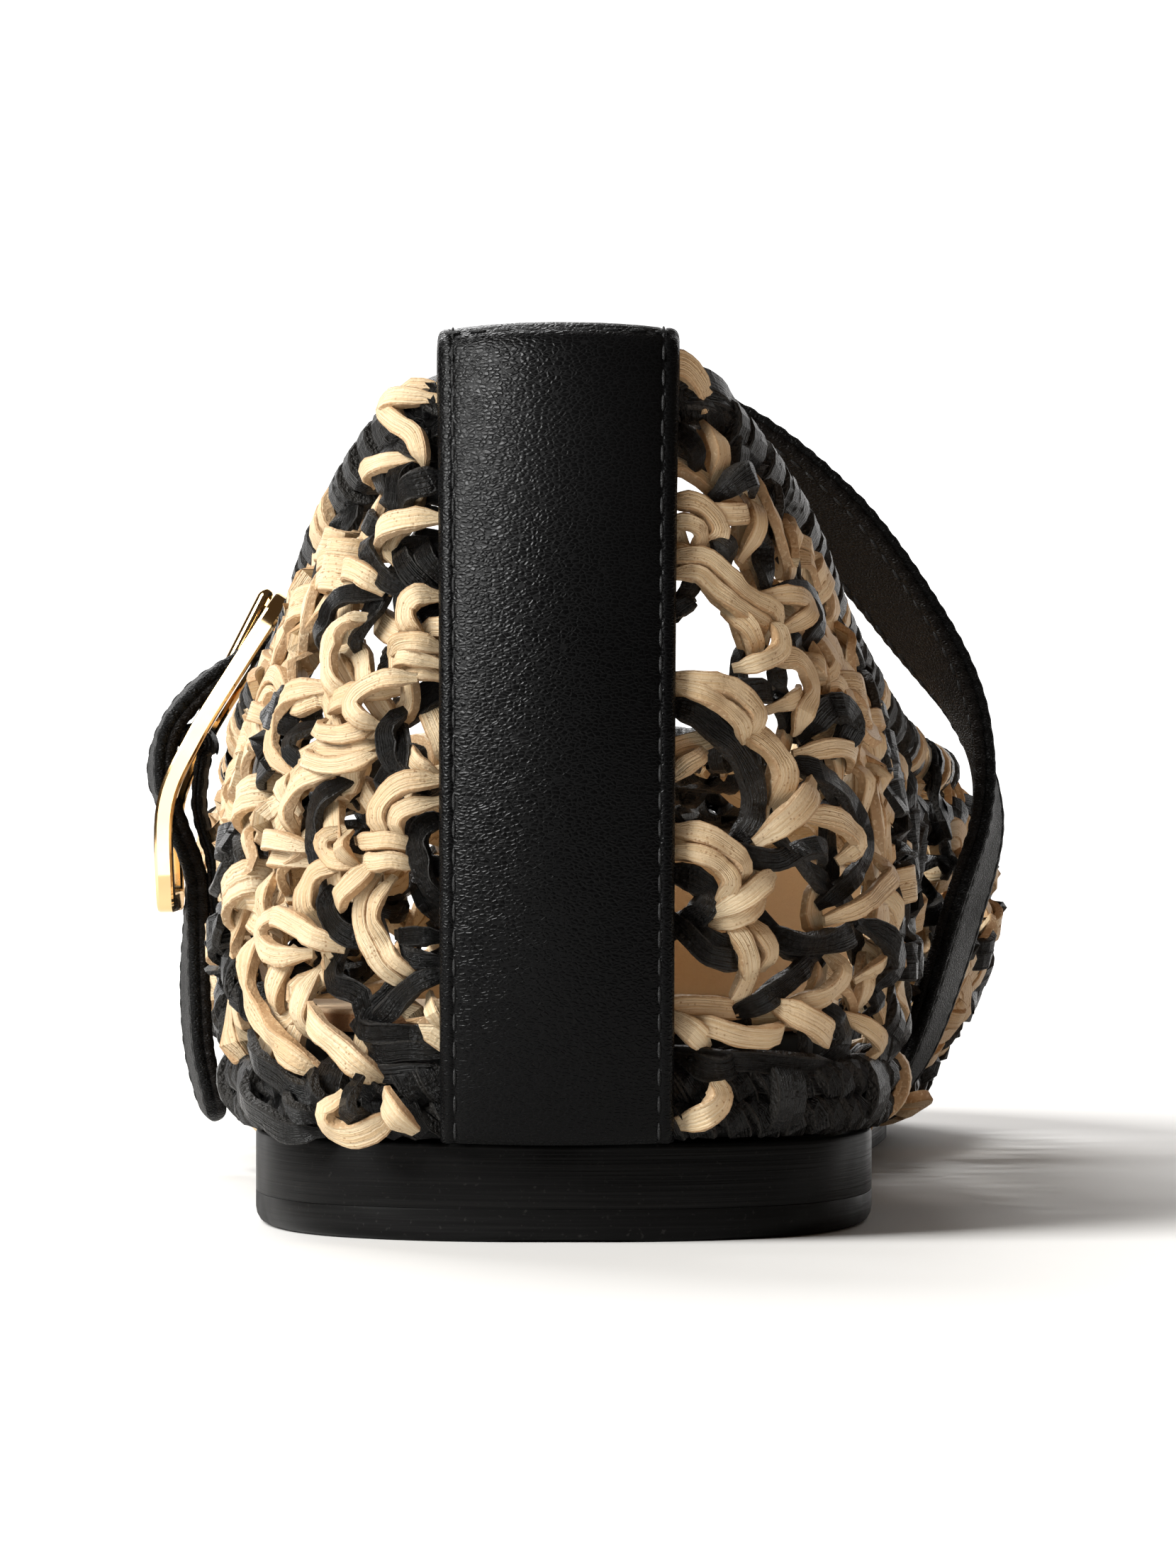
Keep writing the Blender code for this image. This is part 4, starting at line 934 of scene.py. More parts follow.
def makeProng():
    radius = buckle["prongRadius"]
    tip = buckleAt(buckle["prongTip"], buckle["thickHalf"] + shoe["gap"] + radius)
    gap = buckle["loopRadius"] + tabWork["thick"] / 2 + shoe["gap"] + radius / 2
    root = buckleAt(buckle["middleShare"] - gap / buckle["length"], buckle["prongRootOff"])
    run = unit(root - tip)
    side = np.array([0.0, 1.0, 0.0])
    turn = np.linspace(0, 2 * math.pi, buckle["prongSides"], endpoint=False)
    ring = swing(turn, side, np.cross(run, side))
    reach = np.linalg.norm(root - tip)
    stations = [(0.0, 0.25), (0.12, 0.6), (0.4, 0.85), (0.9, 1.0), (reach - 0.5, 1.0), (reach, 0.8)]
    sections = np.array([tip + run * along + ring * radius * size for along, size in stations])
    points, faces = sweptSolid(sections)
    prong = newPiece("buckleProngGold", points, faces, finishes["goldMetal"])
    keepPiece(prong, "buckle_metal", "buckle_prong")


makeBuckle()
makeProng()
print("buckle made")

# back strip: leather folded over the topline, with turned edges and a line of stitches inside them
stripWork = {
    "width": 18.7, "shift": -0.19, "leather": 1.7, "levels": 70, "foot": 0.008, "foldBase": 0.4,
    "foldSteps": 22, "cornerDrop": -0.6, "insideEnd": 0.34, "insideRoom": 1.0, "riseFrom": 0.97,
    "stitchIn": 1.2, "stitchPitch": 2.3, "stitchLength": 1.7, "stitchThick": 0.34, "topStitchTurn": 40.0,
    "topGroove": (-0.05, -0.16, -0.04), "sideSink": -0.08, "topSink": 0.02, "topSpots": 40,
}
# the strip's face against the distance in from its edge
edgeProfile = [
    (0.0, -0.75), (0.07, -0.38), (0.2, -0.12), (0.42, 0.03), (0.68, 0.07), (0.92, 0.04), (1.07, -0.04),
    (1.2, -0.11), (1.33, -0.04), (1.6, 0.04), (2.8, 0.10), (4.5, 0.18), (6.5, 0.25), (9.1, 0.28),
]


def stripRoute():
    # rows of v, rise over the topline, lift off the last, and how the leather faces
    half = stripWork["leather"] / 2
    outside = shoe["crown"] + shoe["gap"] + half
    inside = -(shoe["wall"] + stripWork["insideRoom"] + half)
    radius = (outside - inside) / 2
    rows = [(v, 0.0, outside, 0.0, 1.0) for v in np.linspace(stripWork["foot"], 1, stripWork["levels"])]
    for angle in np.linspace(0, math.pi, stripWork["foldSteps"] + 1):
        rise, lift = math.sin(angle), math.cos(angle)
        rows.append((1.0, stripWork["foldBase"] + radius * rise, inside + radius + radius * lift, rise, lift))
    inner = np.linspace(1, stripWork["insideEnd"], stripWork["levels"] // 2)
    rows += [(v, 0.0, inside, 0.0, -1.0) for v in inner]
    return rows


def stripSpot(row, out, off):
    # the strip keeps its width: it turns over the topline in planes along the shoe
    v, rise, lift, faceRise, faceLift = row
    u = heelU(out + stripWork["shift"], v)
    inPlane = np.array([0.0, 1.0, 1.0])
    back = unit(lastNormal(u, v) * inPlane)
    up = unit((lastPoint(u, 1.0) - lastPoint(u, stripWork["riseFrom"])) * inPlane)
    outer = shoe["crown"] + shoe["gap"] + stripWork["leather"] / 2
    drop = stripWork["cornerDrop"] * (2 * out / stripWork["width"]) ** 2 * (rise > 0)
    outward, upward = lift - outer + faceLift * off, rise - drop + faceRise * off
    return lastPoint(u, v, outer) + back * outward + up * upward


def seamPath(rows, outs, off):
    # places along a seam and the way the strip faces there
    seam, above = (
        np.array([stripSpot(row, out, level) for row, out in zip(rows, outs)]) for level in (off, off + 1)
    )
    return seam, unit(above - seam), np.ones(len(seam)), 0.5


def makeBackStrip():
    half = stripWork["leather"] / 2
    inward, height = np.array(edgeProfile).T
    out = np.concatenate([-stripWork["width"] / 2 + inward, stripWork["width"] / 2 - inward[-2::-1]])
    level = np.concatenate([height, height[-2::-1]])
    rows = stripRoute()
    groove = np.zeros(len(rows))
    seamRow = stripWork["levels"] + round(stripWork["foldSteps"] * stripWork["topStitchTurn"] / 180)
    groove[seamRow - 1 : seamRow + 2] = stripWork["topGroove"]
    front = np.array([
        [stripSpot(row, x, half + rise + dent) for x, rise in zip(out, level)]
        for row, dent in zip(rows, groove)
    ])
    back = np.array([[stripSpot(row, x, -half) for x in out] for row in rows])
    strip = newPiece("backStripLeather", *slab(front, back), finishes["blackGrain"])
    keepPiece(strip, "black_leather", "back_strip")

    seamOut = stripWork["width"] / 2 - stripWork["stitchIn"]
    upRows = rows[1 : seamRow + 1]
    sink = half + stripWork["sideSink"]
    paths = [seamPath(upRows, [out] * len(upRows), sink) for out in (-seamOut, seamOut)]
    across = np.linspace(-seamOut, seamOut, stripWork["topSpots"])
    paths.append(seamPath([rows[seamRow]] * len(across), across, half + stripWork["topSink"]))
    keepPiece(sewAlong("backStripStitches", paths, stripWork), "black_leather", "back_strip")


makeBackStrip()
print("back strip made")

# net of knotted leather strips
netWork = {
    "pitch": 8.7, "columns": 721, "rows": 91, "relax": 30, "merge": 1.6, "seed": 11,
    "handLeft": -27.0, "handRight": 28.0, "handDrop": 0.5, "handWidth": 1.9,
    "baseBand": 5.0, "topBand": 2.4, "edgeU": 0.55, "middleLift": -0.6,
    "width": 1.85, "thick": 0.92, "uneven": 0.55, "pairHalf": 0.88, "spanSteps": 3, "tieShrink": 0.62,
    "matchNoise": 0.3, "longestTie": 8.5, "sideBySide": 0.2, "colourBreak": 0.34,
    "naturalOuter": 0.7, "naturalInner": 0.42,
    "single": 0.08, "bow": 0.7, "outBow": 0.35, "rollSpread": 0.3, "twistShare": 0.25,
    "tieSide": 1.35, "tieOut": 0.95, "wrapSide": 2.1, "wrapOut": 1.95, "wrapPitch": 1.62, "wrapSteps": 14,
    "wrapSlant": 0.22, "looseWrap": (1.8, 1.2, 2.0), "looseSlant": 0.2, "moreMiddle": 0.1, "fewer": 0.08,
    "pressDepth": 1.3, "pressNear": 4.5, "pressFar": 8.5, "footEnds": (2.6, 0.4), "topEnds": (-0.4, -1.9),
    "endLift": -0.9, "sideStep": 0.12, "tuckDepth": 0.3, "endDepth": 0.8, "tieBlend": 0.15, "outSpread": 0.35,
    "turnChoices": (0, 1, 2, 3), "turnShares": (0.34, 0.14, 0.4, 0.12), "stubShare": 0.22, "loopShare": 0.3,
    "closest": 0.5, "strapSteps": 8, "footFace": 0.02,
}
rng = np.random.default_rng(netWork["seed"])
strips = {"natural": [], "black": []}
wraps = {"natural": [], "black": []}
ropeStrips = {"natural": [], "black": []}


# strips that show from behind, laid one by one
# each row: layer, width, then the route's places as out and up in the heel's plane
# layer -3 holds inner strips behind the openings, the black ones as painted shade for the dark inside seen
# through them, and the last black rows darken the inner side's outline
laid = {"natural": [
    (2, 2, -9.8, 71.9, -12.5, 71.4, -14.2, 70.2, -15.2, 68.7, -15.2, 67.2, -14.2, 66.3),
    (3, 1.8, -9.8, 70.8, -12.2, 70.4, -13.2, 69.5, -12.4, 68.4, -11.2, 67.4, -10.7, 66.2, -11, 64.9),
    (1, 1.6, -17, 67.4, -16.2, 66.7, -15.2, 66.4),
    (2, 1.9, -12.2, 66.1, -14.2, 66, -16.2, 65.1, -17.4, 63.8, -17.6, 62.2, -17.9, 60.9, -18.6, 59.8),
    (2, 1.7, -11.6, 66.2, -13.6, 65.3, -15.3, 64.5, -16, 63.5),
    (2, 2, -9.6, 61, -12.2, 60.5, -14.2, 59.6, -15.5, 58.6),
    (2, 1.8, -20, 59.4, -18.8, 59.7, -17.4, 59.6, -16.2, 59.2),
    (1, 1.5, -19.8, 56.5, -19.2, 57.6, -17.9, 58, -16.7, 57.6),
    (2, 2.1, -18, 55.8, -16.8, 56.4, -15.6, 55.8, -14.9, 54.9),
    (1, 1.4, -19.3, 54.6, -18.2, 55.1, -16.8, 54.8, -14.8, 54.9),
    (2, 1.8, -16.3, 52.7, -17.2, 51.8, -18.2, 50.4, -18.5, 48.6, -18.3, 46.9, -17.6, 45.8),
    (2, 1.9, -9.6, 54.4, -11.4, 54.2, -12.3, 53.2, -12.2, 51.9, -11.6, 50.6),
    (2, 1.6, -14.5, 49.4, -13, 50.2, -11.4, 50.3, -9.6, 49.9),
    (2, 1.5, -14.2, 48.6, -12.4, 49, -9.6, 48.6),
    (1, 1.5, -14, 47.9, -12, 48, -9.6, 47.6),
    (3, 1.7, -11.9, 47.4, -13.6, 47, -15.4, 46.1, -16.2, 45, -15.8, 43.9, -14.9, 43.4),
    (2, 2, -13.6, 46.6, -15.4, 46.2, -17.4, 45.6, -19.6, 44.9),
    (2, 1.6, -20, 43.9, -19.4, 42.9, -18, 42.5, -16.4, 42.8, -15.4, 43.6),
    (1, 1.5, -20.8, 42.3, -19.8, 41.5, -18.2, 41.2, -16.4, 41.5, -15.2, 42.3),
    (2, 1.6, -21.4, 41.3, -20.2, 40.4, -18.3, 40, -16.4, 40.3, -15.3, 41.3),
    (1, 1.6, -13, 41.8, -11.8, 40.3, -9.8, 38.8),
    (1, 1.5, -23.4, 50.8, -22.4, 52.4, -20.9, 53, -19.6, 52.4),
    (2, 1.7, -23.8, 49.4, -23, 50.8, -21.6, 51.3, -20.2, 50.5, -19.6, 49.6),
    (2, 2.2, -24.3, 48.7, -25.4, 46.9, -26.8, 45.3, -28.4, 43.9),
    (2, 1.9, -21, 48.8, -22.2, 47, -23.2, 45.4, -23.6, 43.6),
    (2, 1.8, -19.2, 46.9, -21.2, 46.2, -22.4, 44.7, -23.2, 42.8, -23.1, 41, -22.6, 39.4),
    (1, 1.8, -28.6, 42.8, -27, 41.9, -25.2, 41.7, -23.8, 42.3),
    (2, 1.9, -28.6, 40.5, -26.4, 40.4, -24.4, 40.3, -22.7, 40.7),
    (2, 1.9, -28.7, 40, -28.4, 38, -27.7, 36.2, -26.8, 34.7, -25.2, 33.7),
    (1, 1.5, -24.7, 37.1, -25.9, 36, -26.5, 34.6),
    (2, 1.9, -18.4, 40.1, -20.6, 38.9, -21.8, 37.3, -22.2, 35.7, -22.4, 34),
    (1, 1.7, -22.8, 40.2, -22.9, 38.2, -22.6, 36.3),
    (3, 2, -9.7, 38.9, -12, 38.5, -13.6, 37.4, -14.4, 35.8, -14.3, 33.9),
    (3, 1.6, -9.7, 37.2, -12, 36.5, -13, 35.4, -13.2, 33.8),
    (2, 1.6, -17.4, 33.9, -15.4, 33.7, -13.6, 33.8, -12, 33.4),
    (2, 1.6, -16.8, 32.3, -15, 31.9, -13.5, 32.1, -11.8, 31.6),
    (2, 1.7, -18.2, 34.9, -19, 33.8, -18.8, 32.6, -17.6, 32, -16.4, 32.3),
    (3, 1.5, -17.3, 34.6, -17.3, 33, -16.6, 31.4),
    (2, 1.8, -17.4, 32.2, -19.4, 31.3, -20.4, 29.8, -20.6, 28, -20, 26.6),
    (3, 1.9, -15.2, 31.9, -16.2, 30.3, -17.2, 29.2, -18.2, 28.1),
    (2, 2.7, -14.6, 31.2, -15.4, 29, -15.6, 27, -14.9, 25, -13.8, 23.4, -12.2, 21.8),
    (2, 1.8, -27, 34, -25, 33.5, -23.2, 33.8, -21.1, 33.3),
    (1, 1.7, -27, 31.6, -25.4, 32.2, -23.6, 32.4, -21.6, 32),
    (2, 1.8, -26.7, 31.8, -26.3, 29.6, -25.8, 27.6, -25.2, 25.4),
    (1, 1.7, -24.6, 31.6, -24.5, 29.4, -24.4, 27.6, -24.2, 25.8),
    (3, 2, -24, 27.4, -22.2, 27.4, -20.6, 26.6, -19.4, 25.6, -17.8, 24.8),
    (2, 1.9, -23.2, 28.4, -24, 26.8, -24, 25.2, -22.8, 24.2, -21, 24.4),
    (2, 2.3, -25, 26.2, -25, 23.8, -24.9, 21.6, -24.2, 19.4, -22.8, 17.6, -21.4, 15.8, -19.6, 14.2),
    (1, 2, -22.8, 24.8, -23.2, 22.6, -23.4, 20.6, -23.8, 18.8),
    (1, 1.9, -21.2, 23, -21.4, 20.8, -21.5, 18.8, -21, 16.8),
    (3, 2.2, -20.8, 20, -19.2, 18.4, -17.4, 16.6, -15.8, 15, -14.4, 13.6),
    (2, 1.6, -25, 26.2, -26.8, 25, -28.2, 23.9, -29.2, 22.6),
    (2, 1.6, -27.9, 20.5, -26.6, 19.7, -25.6, 20.2, -24.4, 21.2),
    (2, 1.5, -27.8, 19, -26.2, 18.8, -24.6, 18.4),
    (3, 1.9, -24.8, 18.6, -26.4, 17.2, -27.1, 15.6, -26.8, 13.6),
    (1, 1.4, -29.6, 21, -29.4, 19, -29, 17.2, -28.4, 15.2),
    (7, 2.4, -12.4, 11.6, -14.2, 10.5, -16, 10.6, -16.9, 11.8, -16.2, 13.2),
    (7, 2.2, -13.2, 13.4, -12, 11.9, -11, 10.3),
    (1, 1.6, -11.2, 20.9, -10.4, 19.4, -9.6, 17.7),
    (1, 1.6, -27.3, 33.7, -28.2, 31.5, -28.3, 30, -27.4, 28.8),
    (3, 2, 9.3, 74.2, 10.6, 72.8, 11.1, 71.2),
    (2, 1.8, 12.4, 69.1, 12.4, 67.2, 12.8, 65.6, 13.1, 63.8),
    (2, 1.8, 8.9, 62.4, 10.8, 61.9, 12.2, 60.7, 12.7, 59.2, 11.9, 57.8),
    (2, 1.6, 8.9, 60.6, 10.4, 60.2, 11.3, 59.2, 11.2, 57.8),
    (2, 1.8, 11.2, 61.7, 13, 61, 14.6, 60.9, 16.1, 61.8),
    (2, 1.7, 16.1, 62.8, 15.8, 61, 15.7, 59.4, 15.4, 57.4),
    (2, 3.1, 9, 56.9, 11.2, 56.7, 12.9, 55.4, 14.4, 54, 15.8, 53, 17, 52.2, 17.8, 50.8),
    (1, 1.8, 9, 58.8, 10.4, 57.8, 11.6, 57),
    (2, 1.9, 14, 53.4, 15.1, 51.8, 15.8, 50.2, 16.7, 48.7),
    (3, 1.7, 16.4, 54.3, 18.2, 54, 19.4, 53.2, 19.2, 52, 18, 51.3),
    (3, 1.7, 17.2, 52.4, 17.2, 50.6, 17, 49.2, 15.8, 48.4, 14.4, 48.2),
    (2, 1.9, 17, 49.2, 18.8, 48.9, 20, 47.6, 20.3, 45.9, 19.7, 44.4, 20.1, 42.8),
    (2, 1.6, 20.6, 46.8, 19.3, 45.6, 17.8, 44.9),
    (3, 1.8, 8.9, 47.5, 11.2, 46.9, 13.2, 46.5, 14.8, 45.4, 15.6, 43.8, 15.3, 42.2),
    (3, 1.6, 9, 47, 11.2, 45.8, 12.8, 44.8, 14.3, 43.4, 15.3, 42),
    (2, 2.3, 15, 43.4, 16.4, 42, 17.6, 40.6, 18.2, 38.8, 18, 36.8),
    (1, 1.6, 9, 38.6, 10.4, 40, 11.6, 40.8, 12.8, 41.7),
    (2, 1.7, 19.8, 41.1, 21.8, 41.4, 23.4, 41, 24.6, 39.8),
    (2, 1.6, 20.6, 53.4, 22, 51.8, 22.5, 50, 22.2, 48.2, 21, 46.8),
    (2, 1.7, 20.1, 49.8, 20.9, 48.2, 22.2, 47.3, 23.4, 46.4, 24.4, 44.8),
    (2, 1.6, 22.6, 49, 24, 47.6, 25, 46, 25.7, 44.2, 25.6, 42.4),
    (3, 2.7, 23.4, 44.6, 24.6, 42.8, 25.6, 41, 26.6, 39.2, 27.5, 37.2),
    (2, 1.8, 26.6, 43.9, 28, 43.2, 28.2, 41.6, 27.6, 40.2, 26.6, 39.7),
    (2, 1.8, 24.5, 40.2, 25.2, 38.4, 25.6, 37, 25.4, 35.2),
    (3, 1.9, 9.2, 34.8, 11.6, 34.2, 13.4, 33.1, 14.6, 31.6, 14.5, 30),
    (3, 1.7, 9.2, 33.1, 11.4, 32.5, 12.8, 31.5, 13.6, 30.2, 13.1, 28.6),
    (3, 2.3, 16.2, 33.6, 17.8, 35.3, 19.3, 36.9, 20.8, 38.8),
    (3, 1.9, 19.4, 36, 21.4, 35.6, 22.9, 34.6, 23.6, 33.3, 23.1, 32),
    (3, 2, 17.8, 31.1, 15.9, 29.9, 14.4, 28.8, 12.6, 27.6),
    (2, 1.6, 17.6, 30, 15.8, 28.2, 14.4, 27.2, 12.7, 26.7),
    (2, 1.8, 14.1, 27.2, 14.9, 25.4, 15.4, 23.8, 15.9, 21.8),
    (2, 1.8, 15.7, 27.6, 16.6, 25.8, 17.2, 24.4, 17.2, 22.8),
    (3, 1.8, 22, 27.1, 23.8, 28.2, 25.4, 29.5, 26.3, 30.8, 26.4, 32.4),
    (2, 1.8, 18.8, 20.1, 20.8, 20.6, 22.2, 21.6, 22.9, 23, 22.5, 24.4),
    (3, 2.4, 17.6, 20.2, 19.2, 19.2, 20.6, 18.3, 22.2, 17),
    (2, 1.9, 10.6, 18.9, 12.8, 18.2, 15, 17.5, 17.4, 17.6, 19.2, 18.5),
    (2, 2.2, 9, 19.4, 10.8, 18, 12.5, 16.4),
    (2, 1.7, 23.6, 19.3, 25.2, 18.2, 26, 16.8, 25.6, 14.8),
    (2, 1.7, 28.8, 21.4, 28.9, 19.4, 28.4, 17.4, 27.6, 15.6, 26.7, 13.6),
    (2, 1.4, 27.7, 27.8, 27.1, 25.6, 26.2, 23.8, 25.1, 22),
    (2, 1.9, 30.6, 28.2, 30.2, 26.2, 29.6, 24.6, 28.7, 23.8),
    (3, 1.9, 25.4, 33.4, 27.4, 33.4, 29.2, 32.8, 30.2, 31.4, 29.5, 29.8),
    (2, 1.7, 26.2, 31.6, 28, 31.6, 29.3, 30.5),
    (2, 1.3, 27.8, 31.6, 27.4, 30, 26.8, 28.4),
    (4, 2.4, 12.8, 14.2, 12.5, 12.6, 11.4, 11.3, 9.6, 10.4),
    (1, 1.5, 25.6, 12.2, 24.2, 11.3, 23, 10.7),
    (1, 1.4, 30.7, 37.6, 30.3, 35.8, 29.7, 34.4),
    (2, 1.7, 19, 61.4, 20, 60.2, 20, 59, 18.9, 58.1),
    (1, 1.4, 19.9, 64.8, 20.8, 62.8, 21.5, 61),
    (1, 1.5, 21.9, 60.6, 22.9, 58.8, 23.2, 57, 23.5, 55.2),
    (1, 1.4, 17.5, 59.8, 18.6, 58, 19.2, 56.2, 19.7, 54.8),
    (1, 1.4, 24.3, 52.8, 25.4, 51, 26.8, 49.2),
    (1, 1.3, 23.1, 50.8, 24.2, 49.2, 25.1, 47.8),
    (-3, 2.4, -18.4, 54.2, -16.2, 52.4, -13.6, 51.2, -10.6, 50.8),
    (-3, 2.2, -13.4, 47, -11.8, 44.8, -10.6, 42.6, -10.4, 40.2),
    (-3, 2.2, -19, 39.4, -17.4, 37.8, -16.6, 35.6),
], "black": [
    (1, 1.7, -15.4, 68.5, -14, 67.9, -12.8, 67, -11.4, 66.5, -9.6, 66.3),
    (3, 1.9, -16.4, 68.6, -17.5, 67.4, -17.8, 66.2, -17, 65.2),
    (3, 1.9, -17.6, 66, -18.8, 65.2, -19, 63.9, -18.2, 62.8),
    (3, 1.9, -18.4, 63.1, -19.6, 62.1, -20, 60.8, -19.2, 59.8),
    (2, 1.5, -20.3, 58, -20.8, 56.5, -20.3, 55),
    (3, 1.9, -19.7, 55.4, -21.2, 55, -22.1, 54, -21.5, 53),
    (1, 1.7, -17.5, 63.6, -16.9, 61.7, -15.9, 60.4, -14.4, 59.7),
    (1, 1.7, -11.9, 66.6, -13, 64.8, -13.6, 63, -14.3, 61),
    (2, 2.4, -13.6, 61.8, -12.2, 62.9, -11, 63.6, -9.6, 64.3),
    (0, 2, -16.2, 63, -14.4, 62.8, -12.8, 62.4),
    (1, 1.7, -15.8, 60.2, -16, 58.4, -15.4, 56.9, -14.3, 55.6, -12.6, 54.5),
    (1, 1.8, -14.1, 59, -13, 57.2, -12, 55.8, -10.6, 54.6),
    (1, 1.7, -11.7, 59.4, -11, 57.4, -9.7, 55.4),
    (0, 1.4, -20.2, 55.2, -19.2, 56.2, -17.6, 56.7),
    (2, 1.7, -15, 54.6, -17, 54.3, -18.3, 53.3, -18.8, 51.9, -19.4, 50.8, -20.1, 49.4),
    (1, 1.8, -13.4, 45.1, -14.2, 43.4, -14.3, 41.8, -13.8, 40.4, -12.7, 39.2, -11.6, 38.2),
    (1, 1.6, -21.2, 50.4, -22.6, 49.4, -23.4, 47.9, -23.8, 46.2, -24.4, 44.2, -24.2, 42.2),
    (1, 1.8, -21.6, 49.5, -20.4, 48.7, -19.1, 47.4),
    (1, 1.6, -20.6, 44, -21.8, 42.6, -22.2, 41.2, -21.7, 39.7),
    (1, 1.8, -18.2, 39.2, -19.6, 37.6, -20.3, 35.8, -20.4, 34, -20, 32.4, -20.7, 30.4),
    (1, 1.8, -9.6, 36, -11.2, 35.2, -11.8, 33.8, -11.6, 32, -11, 30.2, -9.8, 28.2),
    (1, 1.9, -18.5, 30.4, -19.1, 28.6, -18.8, 27.2, -17.8, 26, -16.4, 25.1),
    (1, 1.7, -14.4, 26, -12.8, 25.8, -11.4, 25.8, -9.6, 25.6),
    (1, 1.6, -13.8, 25.5, -12.6, 24.4, -11.4, 23.8, -9.7, 23.6),
    (1, 1.9, -15.8, 18.5, -14.2, 19.6, -12.9, 20.9, -11.6, 22, -9.6, 22.9),
    (1, 1.7, -18.2, 18.5, -16, 17.8, -13.4, 17.7, -9.6, 17.3),
    (1, 1.8, -17.2, 16.7, -14.6, 16.2, -12.4, 16.2, -9.6, 15.9),
    (1, 1.8, -17, 14.6, -14.6, 14.4, -12.4, 14.5, -9.6, 14.2),
    (1, 1.7, -28.6, 23.6, -28.5, 21.4, -28.4, 19.4, -27.7, 17.4),
    (0, 1.7, -25.2, 24.6, -26.8, 23.4, -27.9, 21.8),
    (1, 1.7, -27.5, 38.8, -27.2, 37, -26.5, 35.2),
    (0, 1.8, -27.2, 38.9, -25.4, 38.9, -23.8, 38.2),
    (4, 2, -28.5, 15.4, -28, 13.2, -27, 11.6, -25.6, 10.3, -23.6, 9.6),
    (4, 2, -27.1, 14.8, -26, 12.8, -24.6, 11.4, -22.8, 10.2, -20.8, 9.6),
    (5, 2, -25.1, 14.6, -23.8, 12.8, -22.2, 11.4, -20.4, 10.2, -18.6, 9.8),
    (3, 2, -25.6, 17.6, -23.8, 15.8, -22.2, 14.4, -20.4, 13.2, -18.4, 12.4),
    (5, 2, -21.6, 13.1, -20, 12, -18.6, 10.9),
    (8, 2, -14.8, 14.8, -15, 13.2, -14.8, 12, -14, 11.2),
    (5, 2, -19.5, 14.8, -18.4, 13.2, -17.5, 11.8),
    (1, 1.7, -28.3, 29.4, -27.8, 27.6, -27.3, 26),
    (1, 1.8, 8.8, 71, 10.8, 70.7, 12.4, 70.3, 13.8, 69.5),
    (1, 1.8, 10.6, 73.4, 12.6, 72.8, 14, 71.6, 15, 69.8),
    (1, 1.8, 9, 69.2, 10.4, 67.8, 11.4, 66.2, 12.1, 64.4),
    (3, 2.4, 12.6, 62.4, 13.6, 63.6, 14.6, 63.8, 15.8, 62.9),
    (1, 1.8, 13.7, 70, 14.4, 68, 14.9, 66.2, 15.5, 64.4),
    (1, 1.8, 15.5, 69.2, 16.2, 67, 16.8, 65, 17.2, 63, 17.4, 61),
    (2, 2.4, 12.4, 59.4, 13.3, 58.2, 14.1, 56.8),
    (1, 1.9, 16.8, 61.8, 16.8, 59.4, 16.8, 57.4, 17.1, 55.6, 18.2, 54.2),
    (1, 1.7, 8.9, 52.7, 10.4, 53.6, 11.8, 54.5),
    (1, 2, 12.8, 46.6, 15, 46.4, 16.8, 46.3, 18.6, 46),
    (1, 2.2, 8.9, 45.7, 11, 44.6, 12.8, 43.2, 14.5, 41.5, 15.8, 39.5, 16.2, 37.2, 15.8, 35, 14.6, 33.4),
    (2, 2.2, 20.3, 42.4, 21.2, 44.2, 22.3, 45, 23.2, 43.8, 23.4, 42),
    (2, 1.8, 17.6, 54.8, 19.6, 54.5, 20.9, 53.3, 21.3, 51.7, 20.7, 50),
    (1, 1.7, 18.5, 52, 19.4, 50.6, 20.1, 48.8),
    (1, 2, 13.6, 33.5, 15.8, 32.5, 18, 32.2, 20, 32.9, 21.6, 33.2, 23.2, 32),
    (1, 1.8, 19, 40.7, 21, 39.7, 23, 38.2, 24.6, 36.1, 25.3, 33.8, 24.8, 31.6, 23.4, 29.8, 22.5, 28.4),
    (1, 2.4, 9.2, 31.3, 11.2, 30.6, 12.2, 29.4, 11.8, 28, 10.4, 26.9),
    (1, 1.9, 9.2, 27.8, 10.8, 25.8, 12.2, 24.4, 13.8, 23.8, 15.4, 23.8),
    (1, 1.7, 10.4, 27.2, 12, 25.8, 13.6, 25.2, 15, 25.9),
    (1, 2.1, 17, 26.7, 19.2, 25.3, 21.4, 25.3, 23.6, 25.7, 25.6, 26.6, 27.1, 28.2),
    (1, 2, 14.6, 19.3, 16.6, 20.2, 18.2, 21.6, 19.8, 22.9, 22.2, 24.3),
    (1, 1.9, 22.1, 20.6, 23.2, 18.8, 23.5, 17, 22.7, 15),
    (1, 2.2, 26.2, 35.1, 27.6, 36.4, 28.8, 36.2, 29, 35, 27.8, 34.3),
    (2, 2.2, 10.2, 15.7, 12, 14.9, 13.6, 15, 14.8, 15.7),
    (1, 1.8, 9.2, 16.2, 12.6, 15.6, 16, 15.4, 20, 15.2, 24.2, 14.6),
    (1, 1.8, 13.8, 14.2, 17, 13.6, 20.4, 13.4, 24.2, 13.2),
    (1, 1.8, 9, 14.1, 10.4, 13.2, 11.6, 11.8),
    (1, 1.7, 27.5, 22.2, 28, 24, 28.5, 26.2),
    (1, 1.8, 27.8, 29.6, 29.4, 29.2, 30.6, 28.3),
    (1, 1.8, 25.9, 22.2, 26.4, 20.4, 26.9, 18.8),
    (1, 1.6, 18.3, 68.2, 19, 66, 19.6, 64, 20.5, 61.8),
    (1, 1.7, 20.5, 60.8, 21.4, 58.4, 22, 56.4, 22.9, 54.4),
    (1, 1.6, 23.3, 54.4, 24, 52.6, 23.6, 51),
    (1, 1.7, 24.5, 51, 25.8, 48.6, 26.8, 46.6, 27.3, 44.6),
